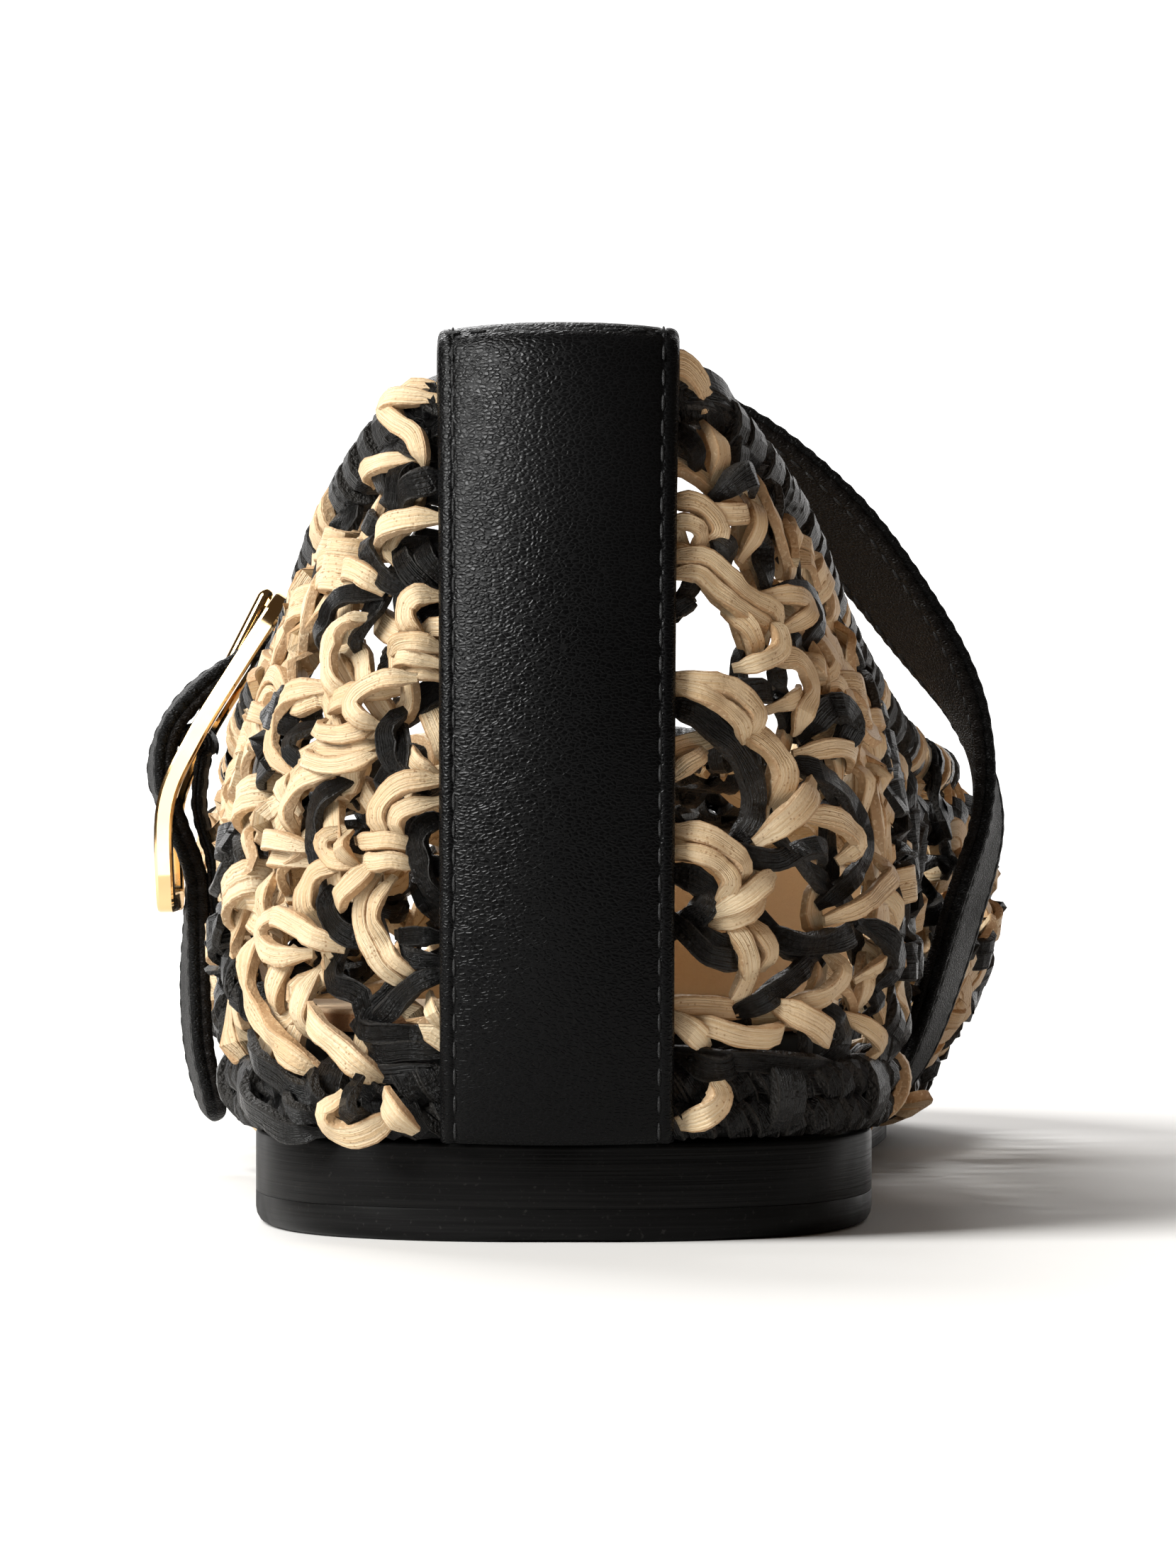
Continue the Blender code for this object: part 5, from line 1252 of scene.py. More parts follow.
    (1, 1.5, 25.3, 44.4, 26.2, 42.6, 26.9, 41),
    # the black layer -3 strips are set inside as painted shade behind the left openings
    (-3, 2.4, -18.2, 49, -15.6, 49.2, -13.2, 52.4, -11.8, 55.2),
    (-3, 2.2, -14, 31.6, -12.4, 29.6, -11.4, 27),
    (-3, 3, -15.2, 63, -12.4, 62.8, -9.8, 62.4),
    (-3, 3, -15.6, 59.6, -13, 59.4, -9.8, 59.2),
    (-3, 3, -15, 56.6, -12.4, 56.6, -9.8, 56.4),
    (-3, 2.8, -14.4, 46.2, -12, 45.6, -9.8, 45.2),
    (-3, 3, -17, 51.4, -14.9, 50.4, -12.4, 49.4),
    (-3, 3, -16.6, 45.6, -14.2, 45.2, -11.6, 46.8, -9.8, 47.4),
    (3, 2.2, 20.9, 58.2, 22, 56.4, 23, 54.4, 23.4, 52.4),
    (3, 2.4, 23.6, 54.6, 24.6, 52.4, 25.6, 50.2, 26, 47.8),
    (3, 2.6, 21.2, 45.4, 22.3, 44.4, 22.9, 42.8, 22.6, 41),
    (3, 2.4, 25, 47.4, 26.2, 45.6, 27, 43.4, 26.8, 41.4),
    (3, 2.4, 26, 41.6, 27.4, 40.2, 28.2, 38.2, 28, 36.2),
    (3, 2.4, 24.2, 36.6, 25.8, 36, 27, 34.6, 27.4, 32.6),
    (3, 2.2, 26.4, 31.4, 27.6, 29.6, 28, 27.4, 27.4, 25.4),
    (3, 2.2, 24.6, 27, 26, 25.6, 26.6, 23.4, 26.2, 21.4),
]}


def routeOf(places):
    return list(zip(places[::2], places[1::2]))

# openings that show from behind
openings = [
    (-13.4, 67.8), (-14.9, 51.0), (-11.4, 44.2), (-17.0, 37.0), (-12.2, 29.2), (-22.3, 30.2), (-17.2, 22.0),
    (-25.2, 37.8), (-21.4, 52.2), (-10.8, 20.0), (-26.4, 22.6), (-15.0, 63.0), (-21.4, 44.0),
    (10.8, 63.2), (15.1, 57.0), (12.0, 50.8), (17.8, 42.6), (12.4, 37.2), (19.8, 28.6), (12.8, 21.6),
    (24.8, 24.2), (20.4, 50.4), (22.0, 36.8), (10.8, 67.0), (26.8, 30.4),
]
laidWork = {
    "lift": -0.35, "perLayer": 0.7, "tuck": 1.5, "pairFrom": 2.6, "roll": 0.25, "steps": 4, "endWidth": 0.5,
    "endRun": 0.8, "crownLift": 0.6,
}


def seenFromBehind(points):
    # places in the heel's plane where points show from behind
    share = view["distance"] / (view["distance"] + points[..., 1])
    out = view["out"] + (points[..., 0] - view["out"]) * share
    up = view["height"] + (points[..., 2] - view["height"]) * share
    return np.stack([out, up], axis=-1)


def facesBack(points, normals):
    eye = np.array([view["out"], -view["distance"], view["height"]])
    return (unit(eye - points) * normals).sum(-1) > view["facing"]


def backGrid():
    # the part of the last that shows from behind
    across = np.linspace(-view["ribsSeen"], view["ribsSeen"], view["gridAcross"])
    u, v = np.meshgrid(across, np.linspace(0, 1, view["gridUp"]), indexing="ij")
    u, v = u.ravel(), v.ravel()
    facing = facesBack(lastPoint(u, v), lastNormal(u, v))
    u, v = u[facing], v[facing]
    return u, v, seenFromBehind(lastPoint(u, v))


behind = backGrid()


def seenSpots(route):
    # the last's u and v behind points of the view: the nearest place of a grid, then one step closer
    gridU, gridV, shown = behind
    route = np.array(route)
    gaps = np.array([((shown - spot) ** 2).sum(1) for spot in route])
    found = gaps.min(1) < view["reach"] ** 2
    near = gaps.argmin(1)[found]
    u, v = gridU[near], gridV[near]
    smallU, smallV, mostU, mostV = (view[key] for key in ("smallU", "smallV", "mostU", "mostV"))
    here = seenFromBehind(lastPoint(u, v))
    overU = (seenFromBehind(lastPoint(u + smallU, v)) - here) / smallU
    overV = (seenFromBehind(lastPoint(u, np.clip(v + smallV, 0, 1))) - here) / smallV
    miss = route[found] - here
    area = overU[:, 0] * overV[:, 1] - overU[:, 1] * overV[:, 0]
    area = np.where(np.abs(area) < view["leastArea"], np.inf, area)
    stepU = (miss[:, 0] * overV[:, 1] - miss[:, 1] * overV[:, 0]) / area
    stepV = (overU[:, 0] * miss[:, 1] - overU[:, 1] * miss[:, 0]) / area
    return u + np.clip(stepU, -mostU, mostU), np.clip(v + np.clip(stepV, -mostV, mostV), 0, 1)


routeSpots = np.array([spot for rows in laid.values() for _, _, *places in rows for spot in routeOf(places)])
routeColours = [colour for colour, rows in laid.items() for _, _, *places in rows for _ in routeOf(places)]


def netV(u, w):
    low = netWork["baseBand"] / ribLength(u)
    high = 1 - netWork["topBand"] / ribLength(u)
    return low + (high - low) * w


def nearestSeed(points, seeds):
    square = (points**2).sum(1)[:, None] + (seeds**2).sum(1)[None] - 2 * points @ seeds.T
    return square.argmin(1)


def spreadSeeds(points):
    # seeds far apart from one another, then moved to the middle of their cells until they are even
    across = np.linalg.norm(np.gradient(points, axis=0), axis=2)
    upward = np.linalg.norm(np.gradient(points, axis=1), axis=2)
    area = (across * upward).ravel()
    flat = points.reshape(-1, 3)
    count = round(area.sum() / (netWork["pitch"] ** 2 * math.sqrt(3) / 2))
    fixed = lastPoint(*seenSpots(openings))
    seeds = list(fixed)
    room = np.min([np.linalg.norm(flat - seed, axis=1) for seed in seeds], axis=0)
    while len(seeds) < count:
        seeds.append(flat[room.argmax()])
        room = np.minimum(room, np.linalg.norm(flat - seeds[-1], axis=1))
    seeds = np.array(seeds)
    for _ in range(netWork["relax"]):
        owner = nearestSeed(flat, seeds)
        weight = np.maximum(np.bincount(owner, area, count), 1e-6)
        seeds = np.column_stack([np.bincount(owner, area * flat[:, k], count) / weight for k in range(3)])
        seeds[: len(fixed)] = fixed
    return seeds


def findKnots():
    # knots as (u, w) and the cells that meet in each
    uLine = np.linspace(netWork["edgeU"], len(ribs) - netWork["edgeU"], netWork["columns"])
    wLine = np.linspace(0, 1, netWork["rows"])
    gridU, gridW = np.meshgrid(uLine, wLine, indexing="ij")
    points = lastPoint(gridU, netV(gridU, gridW))
    seeds = spreadSeeds(points)
    owner = nearestSeed(points.reshape(-1, 3), seeds).reshape(points.shape[:2])
    corners = np.stack([owner[:-1, :-1], owner[1:, :-1], owner[1:, 1:], owner[:-1, 1:]], axis=-1)
    kinds = (np.diff(np.sort(corners, axis=-1), axis=-1) != 0).sum(axis=-1) + 1
    middleU, middleW = (uLine[1:] + uLine[:-1]) / 2, (wLine[1:] + wLine[:-1]) / 2
    found = [(middleU[i], middleW[j], set(corners[i, j].tolist())) for i, j in np.argwhere(kinds > 2)]
    for j, w in ((0, 0.0), (-1, 1.0)):
        for i in np.flatnonzero(owner[1:, j] != owner[:-1, j]):
            found.append((middleU[i], w, {int(owner[i, j]), int(owner[i + 1, j])}))
    for i, u in ((0, uLine[0]), (-1, uLine[-1])):
        for j in np.flatnonzero(owner[i, 1:] != owner[i, :-1]):
            found.append((u, middleW[j], {int(owner[i, j]), int(owner[i, j + 1])}))
    spotU, spotW = np.array([f[0] for f in found]), np.array([f[1] for f in found])
    place = lastPoint(spotU, netV(spotU, spotW))
    group = np.arange(len(found))
    close = np.linalg.norm(place[:, None] - place[None], axis=2) < netWork["merge"]
    for a, b in np.argwhere(np.triu(close, 1)):
        group[group == group[b]] = group[a]
    knots, owners = [], []
    for name in sorted(set(group.tolist())):
        members = np.flatnonzero(group == name)
        owners.append(set().union(*(found[k][2] for k in members)))
        u, w = spotU[members], spotW[members]
        edgeU = [end for end in (uLine[0], uLine[-1]) if np.any(u == end)]
        edgeW = [end for end in (0.0, 1.0) if np.any(w == end)]
        knots.append((edgeU[0] if edgeU else u.mean(), edgeW[0] if edgeW else w.mean()))
    return np.array(knots), owners


knots, owners = findKnots()
knotV = netV(knots[:, 0], knots[:, 1])
knotPlace = lastPoint(knots[:, 0], knotV, netWork["middleLift"])
knotOut = lastNormal(knots[:, 0], knotV)
knotUp = lastUp(knots[:, 0], knotV)
onSide = (knots[:, 0] == knots[:, 0].min()) | (knots[:, 0] == knots[:, 0].max())
onFoot, onTop = knots[:, 1] == 0.0, knots[:, 1] == 1.0
inside = ~(onSide | onFoot | onTop)
# under the laid strips the net lies deeper
knotSeen = seenFromBehind(knotPlace)[:, 0]
byHand = facesBack(knotPlace, knotOut) & (knotSeen > netWork["handLeft"]) & (knotSeen < netWork["handRight"])
knotPlace -= knotOut * (byHand * netWork["handDrop"])[:, None]
edges = [
    (a, b) for a in range(len(knots)) for b in range(a + 1, len(knots))
    if len(owners[a] & owners[b]) > 1 and not (onFoot[a] and onFoot[b]) and not (onTop[a] and onTop[b])
]
meeting = {k: [] for k in range(len(knots))}
for number, (a, b) in enumerate(edges):
    meeting[a].append(number)
    meeting[b].append(number)
print("net has", len(knots), "knots and", len(edges), "edges")


def farKnot(edge, knot):
    a, b = edges[edge]
    return b if knot == a else a


def tiePairs():
    # pairs of neighbouring knots that are drawn together into one tied bundle
    scored = []
    for number, (a, b) in enumerate(edges):
        run = knotPlace[b] - knotPlace[a]
        length = np.linalg.norm(run)
        if inside[a] and inside[b] and length < netWork["longestTie"]:
            scored.append((abs(run @ knotUp[a]) / length + rng.uniform(0, netWork["matchNoise"]), number))
    taken = {}
    for _, number in sorted(scored, reverse=True):
        a, b = edges[number]
        if a not in taken and b not in taken:
            taken[a] = taken[b] = number
    return taken


tieOf = tiePairs()
ties = set(tieOf.values())
# the two knots of a tie are drawn together
for tie in ties:
    pair = list(edges[tie])
    middle = knotPlace[pair].mean(axis=0)
    knotPlace[pair] = middle + (knotPlace[pair] - middle) * netWork["tieShrink"]


def strandRun(edge, knot):
    return unit(knotPlace[farKnot(edge, knot)] - knotPlace[knot])


def joinStrands():
    # which strand goes on into which beyond a knot, and which of the two lies on top
    onward, layer = {}, {}
    for tie in ties:
        a, b = edges[tie]
        here = [e for e in meeting[a] if e != tie]
        there = [e for e in meeting[b] if e != tie]
        if len(here) == 2 and len(there) == 2:
            straight = sum(strandRun(here[k], a) @ strandRun(there[k], b) for k in (0, 1))
            swapped = sum(strandRun(here[k], a) @ strandRun(there[1 - k], b) for k in (0, 1))
            cross = swapped < straight
            if rng.random() < netWork["sideBySide"]:
                cross = not cross
            there = there[::-1] if cross else there
        top = rng.choice((-1, 1))
        for k, (e, f) in enumerate(zip(here, there)):
            onward[(e, a)], onward[(f, b)] = (f, b), (e, a)
            layer[(e, a)] = layer[(f, b)] = top * (1 if k == 0 else -1)
    for k in np.flatnonzero(inside):
        if k not in tieOf:
            free = list(meeting[k])
            while len(free) > 1:
                pairs = [(strandRun(e, k) @ strandRun(f, k), e, f) for e in free for f in free if e < f]
                _, e, f = min(pairs)
                onward[(e, k)], onward[(f, k)] = (f, k), (e, k)
                free = [g for g in free if g not in (e, f)]
    return onward, layer


onward, layer = joinStrands()
strapLine = np.vstack([bandFrames(path, netWork["strapSteps"])[0] for path in (strapPath, tabPath)])


def pressIn(points):
    # the net lies flatter under the strap and the tab
    reach = np.sqrt(((points[:, None, :] - strapLine[None]) ** 2).sum(-1)).min(1)
    return netWork["pressDepth"] * (1 - easeStep(reach, netWork["pressNear"], netWork["pressFar"]))


def besideKnot(edge, knot):
    # where a strand meets a tied knot: to its own side of the bundle, over or under the other
    if knot not in tieOf or (edge, knot) not in layer:
        return knotPlace[knot]
    axis = unit(knotPlace[farKnot(tieOf[knot], knot)] - knotPlace[knot])
    side = unit(np.cross(knotOut[knot], axis))
    sign = 1.0 if strandRun(edge, knot) @ side > 0 else -1.0
    lift = layer[(edge, knot)] * netWork["tieOut"] / 2
    return knotPlace[knot] + side * sign * netWork["tieSide"] + knotOut[knot] * lift


def tieMiddle(edge, knot, tuck=False):
    tie = tieOf[knot]
    a, b = edges[tie]
    middle = (knotPlace[a] + knotPlace[b]) / 2
    out = unit(knotOut[a] + knotOut[b])
    if tuck or (edge, knot) not in layer:
        return middle - out * netWork["tuckDepth"], out
    far, beyond = onward[(edge, knot)]
    near, other = besideKnot(edge, knot), besideKnot(far, beyond)
    blend = netWork["tieBlend"]
    spot = middle * (1 - 2 * blend) + (near + other) * blend
    return spot + out * layer[(edge, knot)] * netWork["tieOut"], out


def strandEnd(edge, knot):
    # points past the last knot of a strand
    u, w = knots[knot]
    if onFoot[knot]:
        outward, length = lastNormal(u, netWork["footFace"]), ribLength(u)
        return [(lastPoint(u, h / length, netWork["endLift"]), outward) for h in netWork["footEnds"]]
    if onTop[knot]:
        return [(lastPoint(u, 1.0, lift), knotOut[knot]) for lift in netWork["topEnds"]]
    if onSide[knot]:
        past = u + math.copysign(netWork["sideStep"], u - len(ribs) / 2)
        return [(lastPoint(past, netV(past, w), netWork["endLift"]), knotOut[knot])]
    if knot in tieOf:
        return [tieMiddle(edge, knot, tuck=True)]
    return [(knotPlace[knot] - knotOut[knot] * netWork["endDepth"], knotOut[knot])]


def strandRows(trail):
    # control points along a strand: each knot, the bowed middle of each edge and the middle of each tied knot
    rows = strandEnd(trail[0][0], trail[0][1])[::-1]
    for k, (edge, start, end) in enumerate(trail):
        a, b = besideKnot(edge, start), besideKnot(edge, end)
        out = unit(knotOut[start] + knotOut[end])
        side = unit(np.cross(out, b - a))
        bow = rng.normal(0, netWork["bow"])
        lift = rng.normal(netWork["outBow"], netWork["outSpread"])
        if not rows or np.linalg.norm(rows[-1][0] - a) > netWork["closest"]:
            rows.append((a, knotOut[start]))
        rows.append(((a + b) / 2 + side * bow + out * lift, out))
        rows.append((b, knotOut[end]))
        if k < len(trail) - 1 and trail[k + 1][1] != end:
            rows.append(tieMiddle(edge, end))
    return rows + strandEnd(trail[-1][0], trail[-1][2])


def traceStrands():
    used, trails = set(ties), []
    for first in range(len(edges)):
        if first in used:
            continue
        used.add(first)
        a, b = edges[first]
        trail = [(first, a, b)]
        for forward in (True, False):
            while True:
                edge, start, end = trail[-1] if forward else trail[0]
                knot = end if forward else start
                if byHand[knot]:
                    break
                if (edge, knot) not in onward or rng.random() < netWork["colourBreak"]:
                    break
                nextEdge, nextKnot = onward[(edge, knot)]
                if nextEdge in used:
                    break
                used.add(nextEdge)
                beyond = farKnot(nextEdge, nextKnot)
                if forward:
                    trail.append((nextEdge, nextKnot, beyond))
                else:
                    trail.insert(0, (nextEdge, beyond, nextKnot))
        trails.append(trail)
    return trails


# how the strips differ from one another
play = {
    "swell": 0.05, "swellRun": (4, 12), "swellStart": 6, "gap": (0.94, 1.08), "drift": 0.12, "single": 1.15,
    "scale": (0.92, 1.08), "wrapScale": (0.92, 1.06), "wrapOver": 0.2, "tuck": (0.7, 0.9),
}
loopWork = {
    "spots": 15, "low": -0.9, "rise": 2.1, "power": 0.6, "roll": 0.15, "size": (2.2, 3.0), "turn": 0.6,
    "sweep": (3.0, 4.2), "slide": 0.8, "anyTurn": 6.28,
}
stubWork = {"spots": 6, "reach": (2.8, 4.2), "lean": 1.5, "lift": 0.7, "bend": 2.4, "roll": 0.3}


def addStrip(store, points, faceOut, scale=1.0):
    swell = np.linspace(0, rng.uniform(*play["swellRun"]), len(points)) + rng.uniform(0, play["swellStart"])
    spread = scale * (1 + play["swell"] * np.sin(swell))
    store.append((points - faceOut * pressIn(points)[:, None], faceOut, spread, rng.uniform()))


def layPair(store, points, out, roll, single=False, half=None, wide=None, taper=1.0):
    # two strips side by side, turning together by the roll
    run = unit(np.gradient(points, axis=0))
    side = unit(np.cross(out, run))
    up = unit(np.cross(run, side))
    across, faceOut = swing(roll, side, up), swing(roll, up, -side)
    half = netWork["pairHalf"] if half is None else half
    for sign in ((0.0,) if single else (-1.0, 1.0)):
        gap = half * rng.uniform(*play["gap"])
        drift = rng.normal(0, play["drift"])
        scale = play["single"] if single else rng.uniform(*play["scale"])
        if wide:
            scale = wide / netWork["width"]
        addStrip(store, points + across * sign * gap + up * drift, faceOut, scale * taper)


def laySmooth(store, points, normals, roll, steps, **more):
    smooth = throughPoints(np.column_stack([points, normals, roll]), steps)
    layPair(store, smooth[:, :3], unit(smooth[:, 3:6]), smooth[:, 6], **more)


def layLaid():
    steps, thin = laidWork["steps"], laidWork["endWidth"]
    for colour, rows in laid.items():
        for level, width, *places in rows:
            u, v = seenSpots(routeOf(places))
            if len(u) < 3:
                continue
            lift = np.full(len(u), laidWork["lift"] + laidWork["perLayer"] * level)
            lift[[0, -1]] -= laidWork["tuck"]
            roll = rng.normal(0, laidWork["roll"], len(u))
            pair = width > laidWork["pairFrom"]
            ends = np.linspace(0, len(u) - 1, (len(u) - 1) * steps + 1)
            taper = thin + (1 - thin) * easeStep(np.minimum(ends, ends[::-1]), 0.0, laidWork["endRun"])
            laySmooth(
                wraps[colour], lastPoint(u, v, lift), lastNormal(u, v), roll, steps, single=not pair,
                half=width / 4, wide=width / 2 if pair else width, taper=taper,
            )


# strips that stand over the topline beside the back strip: colour, width, places as out and rise
crownStrips = [
    ("natural", 2.6, [(7.5, 0.4), (9.8, 1.1), (11.2, 0.0), (11.9, -1.8)]),
    ("black", 2.2, [(8.5, -0.6), (11.0, 0.7), (13.2, 0.9), (15.0, 0.1)]),
    ("black", 2.0, [(10.5, -0.9), (13.0, -0.1), (15.0, 0.0), (16.6, -0.7)]),
]


def layCrown():
    for colour, width, route in crownStrips:
        out, rise = np.array(route).T
        u = np.array([heelU(place, 1.0) for place in out])
        top = np.ones(len(u))
        points = lastPoint(u, top, laidWork["crownLift"]) + rise[:, None] * np.array([0.0, 0.0, 1.0])
        flat = np.zeros(len(u))
        laySmooth(wraps[colour], points, lastNormal(u, top), flat, laidWork["steps"], single=True, wide=width)


def pickColour(u, more=0.0):
    share = netWork["naturalInner"] if u < len(ribs) / 2 else netWork["naturalOuter"]
    return "natural" if rng.random() < share + more else "black"


def layStrands():
    trails = traceStrands()
    colourAt = {}
    for trail in trails:
        rows = strandRows(trail)
        points, normals = (np.array(column) for column in zip(*rows))
        twist = np.cumsum((rng.random(len(rows)) < netWork["twistShare"] / 2) * math.pi)
        roll = rng.normal(0, netWork["rollSpread"], len(rows)) + twist * rng.choice((-1, 1))
        height = np.mean([knots[knot][1] for _, knot, _ in trail])
        more = netWork["moreMiddle"] * math.sin(height * math.pi) - netWork["fewer"]
        colour = pickColour(knots[trail[0][1]][0], more)
        under = byHand[trail[0][1]] and byHand[trail[-1][2]]
        if under:
            shown = seenFromBehind(points.mean(axis=0))
            colour = routeColours[((routeSpots - shown) ** 2).sum(1).argmin()]
        for _, *ends in trail:
            for knot in ends:
                colourAt.setdefault(tieOf.get(knot), []).append(colour)
        laySmooth(
            strips[colour], points, normals, roll, netWork["spanSteps"],
            single=under or rng.random() < netWork["single"], wide=netWork["handWidth"] if under else None,
        )
    return colourAt


def layWrap(store, centre, axis, out, halfSide, halfOut, turns, slant):
    # turns of one strip wound round a bundle, with both ends tucked inside
    axis = unit(axis)
    side = unit(np.cross(out, axis))
    out = np.cross(axis, side)
    count = int(turns * netWork["wrapSteps"]) + 3
    over = play["wrapOver"]
    angle = -math.pi / 2 + np.linspace(-over, 2 * math.pi * turns + over, count)
    travel = np.linspace(-0.5, 0.5, count) * (turns - over) * netWork["wrapPitch"]
    tuck = np.ones(count)
    tuck[:2] = play["tuck"]
    tuck[-2:] = play["tuck"][::-1]
    across, rise = np.cos(angle) * halfSide * tuck, np.sin(angle) * halfOut * tuck
    points = centre + across[:, None] * side + rise[:, None] * out + (travel + slant * across)[:, None] * axis
    faceOut = unit(np.cos(angle)[:, None] * side / halfSide + np.sin(angle)[:, None] * out / halfOut)
    addStrip(store, points, faceOut, rng.uniform(*play["wrapScale"]))


def layLoop(store, centre, axis, out, wide, tall, start, sweep):
    # an open loop of doubled strip on the net's face, its ends tucked under
    side = unit(np.cross(out, axis))
    t = np.linspace(0, 1, loopWork["spots"])
    angle = start + sweep * t
    lift = loopWork["low"] + loopWork["rise"] * np.sin(math.pi * t) ** loopWork["power"]
    ring = np.cos(angle)[:, None] * side * wide + np.sin(angle)[:, None] * axis * tall
    points = centre + ring + lift[:, None] * out
    roll = rng.normal(loopWork["roll"], loopWork["roll"]) * np.sin(math.pi * t)
    layPair(store, points, np.tile(out, (len(t), 1)), roll)


def layStub(store, centre, axis, out):
    # a short cut end that stands away from a knot
    side = unit(np.cross(out, axis)) * rng.choice((-1, 1))
    reach = rng.uniform(*stubWork["reach"])
    t = np.linspace(0, 1, stubWork["spots"])[:, None]
    lean = axis * rng.uniform(-stubWork["lean"], stubWork["lean"])
    lift = stubWork["lift"] + stubWork["lift"] * np.sin(t * stubWork["bend"])
    points = centre + side * reach * t + lean * t**2 + out * lift
    layPair(store, points, np.tile(out, (len(t), 1)), np.full(len(t), rng.normal(0, stubWork["roll"])))


def tieKnots(colourAt):
    for tie in sorted(ties):
        a, b = edges[tie]
        if byHand[a] and byHand[b]:
            continue
        colours = colourAt.get(tie, ["natural"])
        turns = rng.choice(netWork["turnChoices"], p=netWork["turnShares"])
        centre, out = (knotPlace[a] + knotPlace[b]) / 2, unit(knotOut[a] + knotOut[b])
        axis = unit(knotPlace[b] - knotPlace[a])
        colour = colours[rng.integers(len(colours))]
        if turns:
            layWrap(
                wraps[colour], centre, axis, out, netWork["wrapSide"], netWork["wrapOut"], float(turns),
                rng.normal(0, netWork["wrapSlant"]),
            )
        if rng.random() < netWork["stubShare"]:
            layStub(wraps[colour], centre, axis, out)
        if rng.random() < netWork["loopShare"]:
            wide, tall = rng.uniform(*loopWork["size"], 2)
            turned = unit(axis + loopWork["turn"] * rng.normal() * np.cross(out, axis))
            start, sweep = rng.uniform(0, loopWork["anyTurn"]), rng.uniform(*loopWork["sweep"])
            place = centre + rng.normal(0, loopWork["slide"]) * axis
            layLoop(wraps[colour], place, turned, out, wide, tall, start, sweep)
    for k in np.flatnonzero(inside):
        if k not in tieOf and meeting[k] and not byHand[k]:
            axis = strandRun(meeting[k][0], k)
            colour = pickColour(knots[k][0])
            slant = rng.normal(0, netWork["looseSlant"])
            layWrap(wraps[colour], knotPlace[k], axis, knotOut[k], *netWork["looseWrap"], slant)


# black ropes along the sole's edge and the topline: height over the sole or under the topline, lift and twist
ropes = [
    {"from": "foot", "height": 1.9, "lift": -0.2, "reach": 1.15, "period": 6.0, "scale": 1.08},
    {"from": "foot", "height": 4.7, "lift": -0.5, "reach": 1.1, "period": 6.6, "scale": 1.05},
    {"from": "top", "height": 1.4, "lift": -0.7, "reach": 0.85, "period": 7.5, "scale": 1.05},
]
# strips wound round the ropes, with the share of natural ones and how much of it the inner side keeps
ropeWraps = [
    {"from": "foot", "height": 3.6, "lift": -0.4, "side": 2.7, "out": 2.0, "every": 13.0,
     "natural": 0.2, "inner": 0.7},
    {"from": "top", "height": 1.4, "lift": -0.7, "side": 2.0, "out": 1.9, "every": 4.2,
     "natural": 0.38, "inner": 0.4},
]

# the strips of the ropes and their wraps are thicker and rounder than the net's
ropeWork = {
    "width": 1.95, "thick": 1.3, "uneven": 0.3, "loopLift": 1.3, "spacing": 0.65, "drift": 0.5,
    "driftLength": 6.1, "heelEnd": 24.0, "stripRoom": 4.0, "slide": 0.9, "slant": 0.3, "overlap": 0.1,
    "samples": 2400, "turnChoices": (1, 2, 2), "driftStart": 6, "smallV": 0.02,
}

# loose natural loops along the sole's edge: place round the shoe in ribs, height and half width,
# half height, start and sweep
footLoops = [
    (4.4, 2.8, 2.4, 3.0, 3.8), (7.3, 2.6, 2.4, 0.2, 3.6), (10.2, 2.8, 2.4, 2.8, 3.8),
    (13.6, 2.6, 2.4, 0.3, 3.6), (16.8, 2.8, 2.6, 2.9, 3.7), (19.4, 2.6, 2.4, 0.1, 3.6),
]


def edgeSpots(rope, spacing):
    # even places along the sole's edge or the topline: run, u and v
    end = netWork["edgeU"] - ropeWork["overlap"]
    fine = np.linspace(end, len(ribs) - end, ropeWork["samples"])
    share = rope["height"] / ribLength(fine)
    v = share if rope["from"] == "foot" else 1 - share
    run = runLength(lastPoint(fine, v))
    s = np.linspace(0, run[-1], int(run[-1] / spacing))
    u = np.interp(s, run, fine)
    return s, u, np.interp(u, fine, v)


def layRopes():
    for rope in ropes:
        # two strips twisted round each other
        s, u, v = edgeSpots(rope, ropeWork["spacing"])
        for first in (0.0, math.pi):
            sway = s / ropeWork["driftLength"] + rng.uniform(0, ropeWork["driftStart"])
            drift = ropeWork["drift"] * np.sin(sway)
            angle = first + 2 * math.pi * s / rope["period"] + drift
            away = swing(angle, lastUp(u, v), lastNormal(u, v))
            points = lastPoint(u, v, rope["lift"]) + away * rope["reach"]
            addStrip(ropeStrips["black"], points, away, rope["scale"])
    for row in ropeWraps:
        s, u, v = edgeSpots(row, row["every"])
        places, normals = lastPoint(u, v, row["lift"]), lastNormal(u, v)
        runs = unit(np.gradient(places, axis=0))
        for centre, out, run in zip(places, normals, runs):
            heel = centre[1] < ropeWork["heelEnd"]
            if heel and abs(centre[0]) < stripWork["width"] / 2 + ropeWork["stripRoom"]:
                continue
            share = row["natural"] * (row["inner"] if centre[0] > 0 else 1.0)
            colour = "natural" if rng.random() < share and not heel else "black"
            slide = run * rng.uniform(-ropeWork["slide"], ropeWork["slide"])
            turns = float(rng.choice(ropeWork["turnChoices"]))
            slant = rng.normal(0, ropeWork["slant"])
            layWrap(ropeStrips[colour], centre + slide, run, out, row["side"], row["out"], turns, slant)
    for u, wide, tall, start, sweep in footLoops:
        v = wide / ribLength(u)
        up = unit(lastPoint(u, v + ropeWork["smallV"]) - lastPoint(u, v))
        centre = lastPoint(u, v, ropeWork["loopLift"])
        layLoop(ropeStrips["natural"], centre, up, lastNormal(u, v), wide, tall, start, sweep)


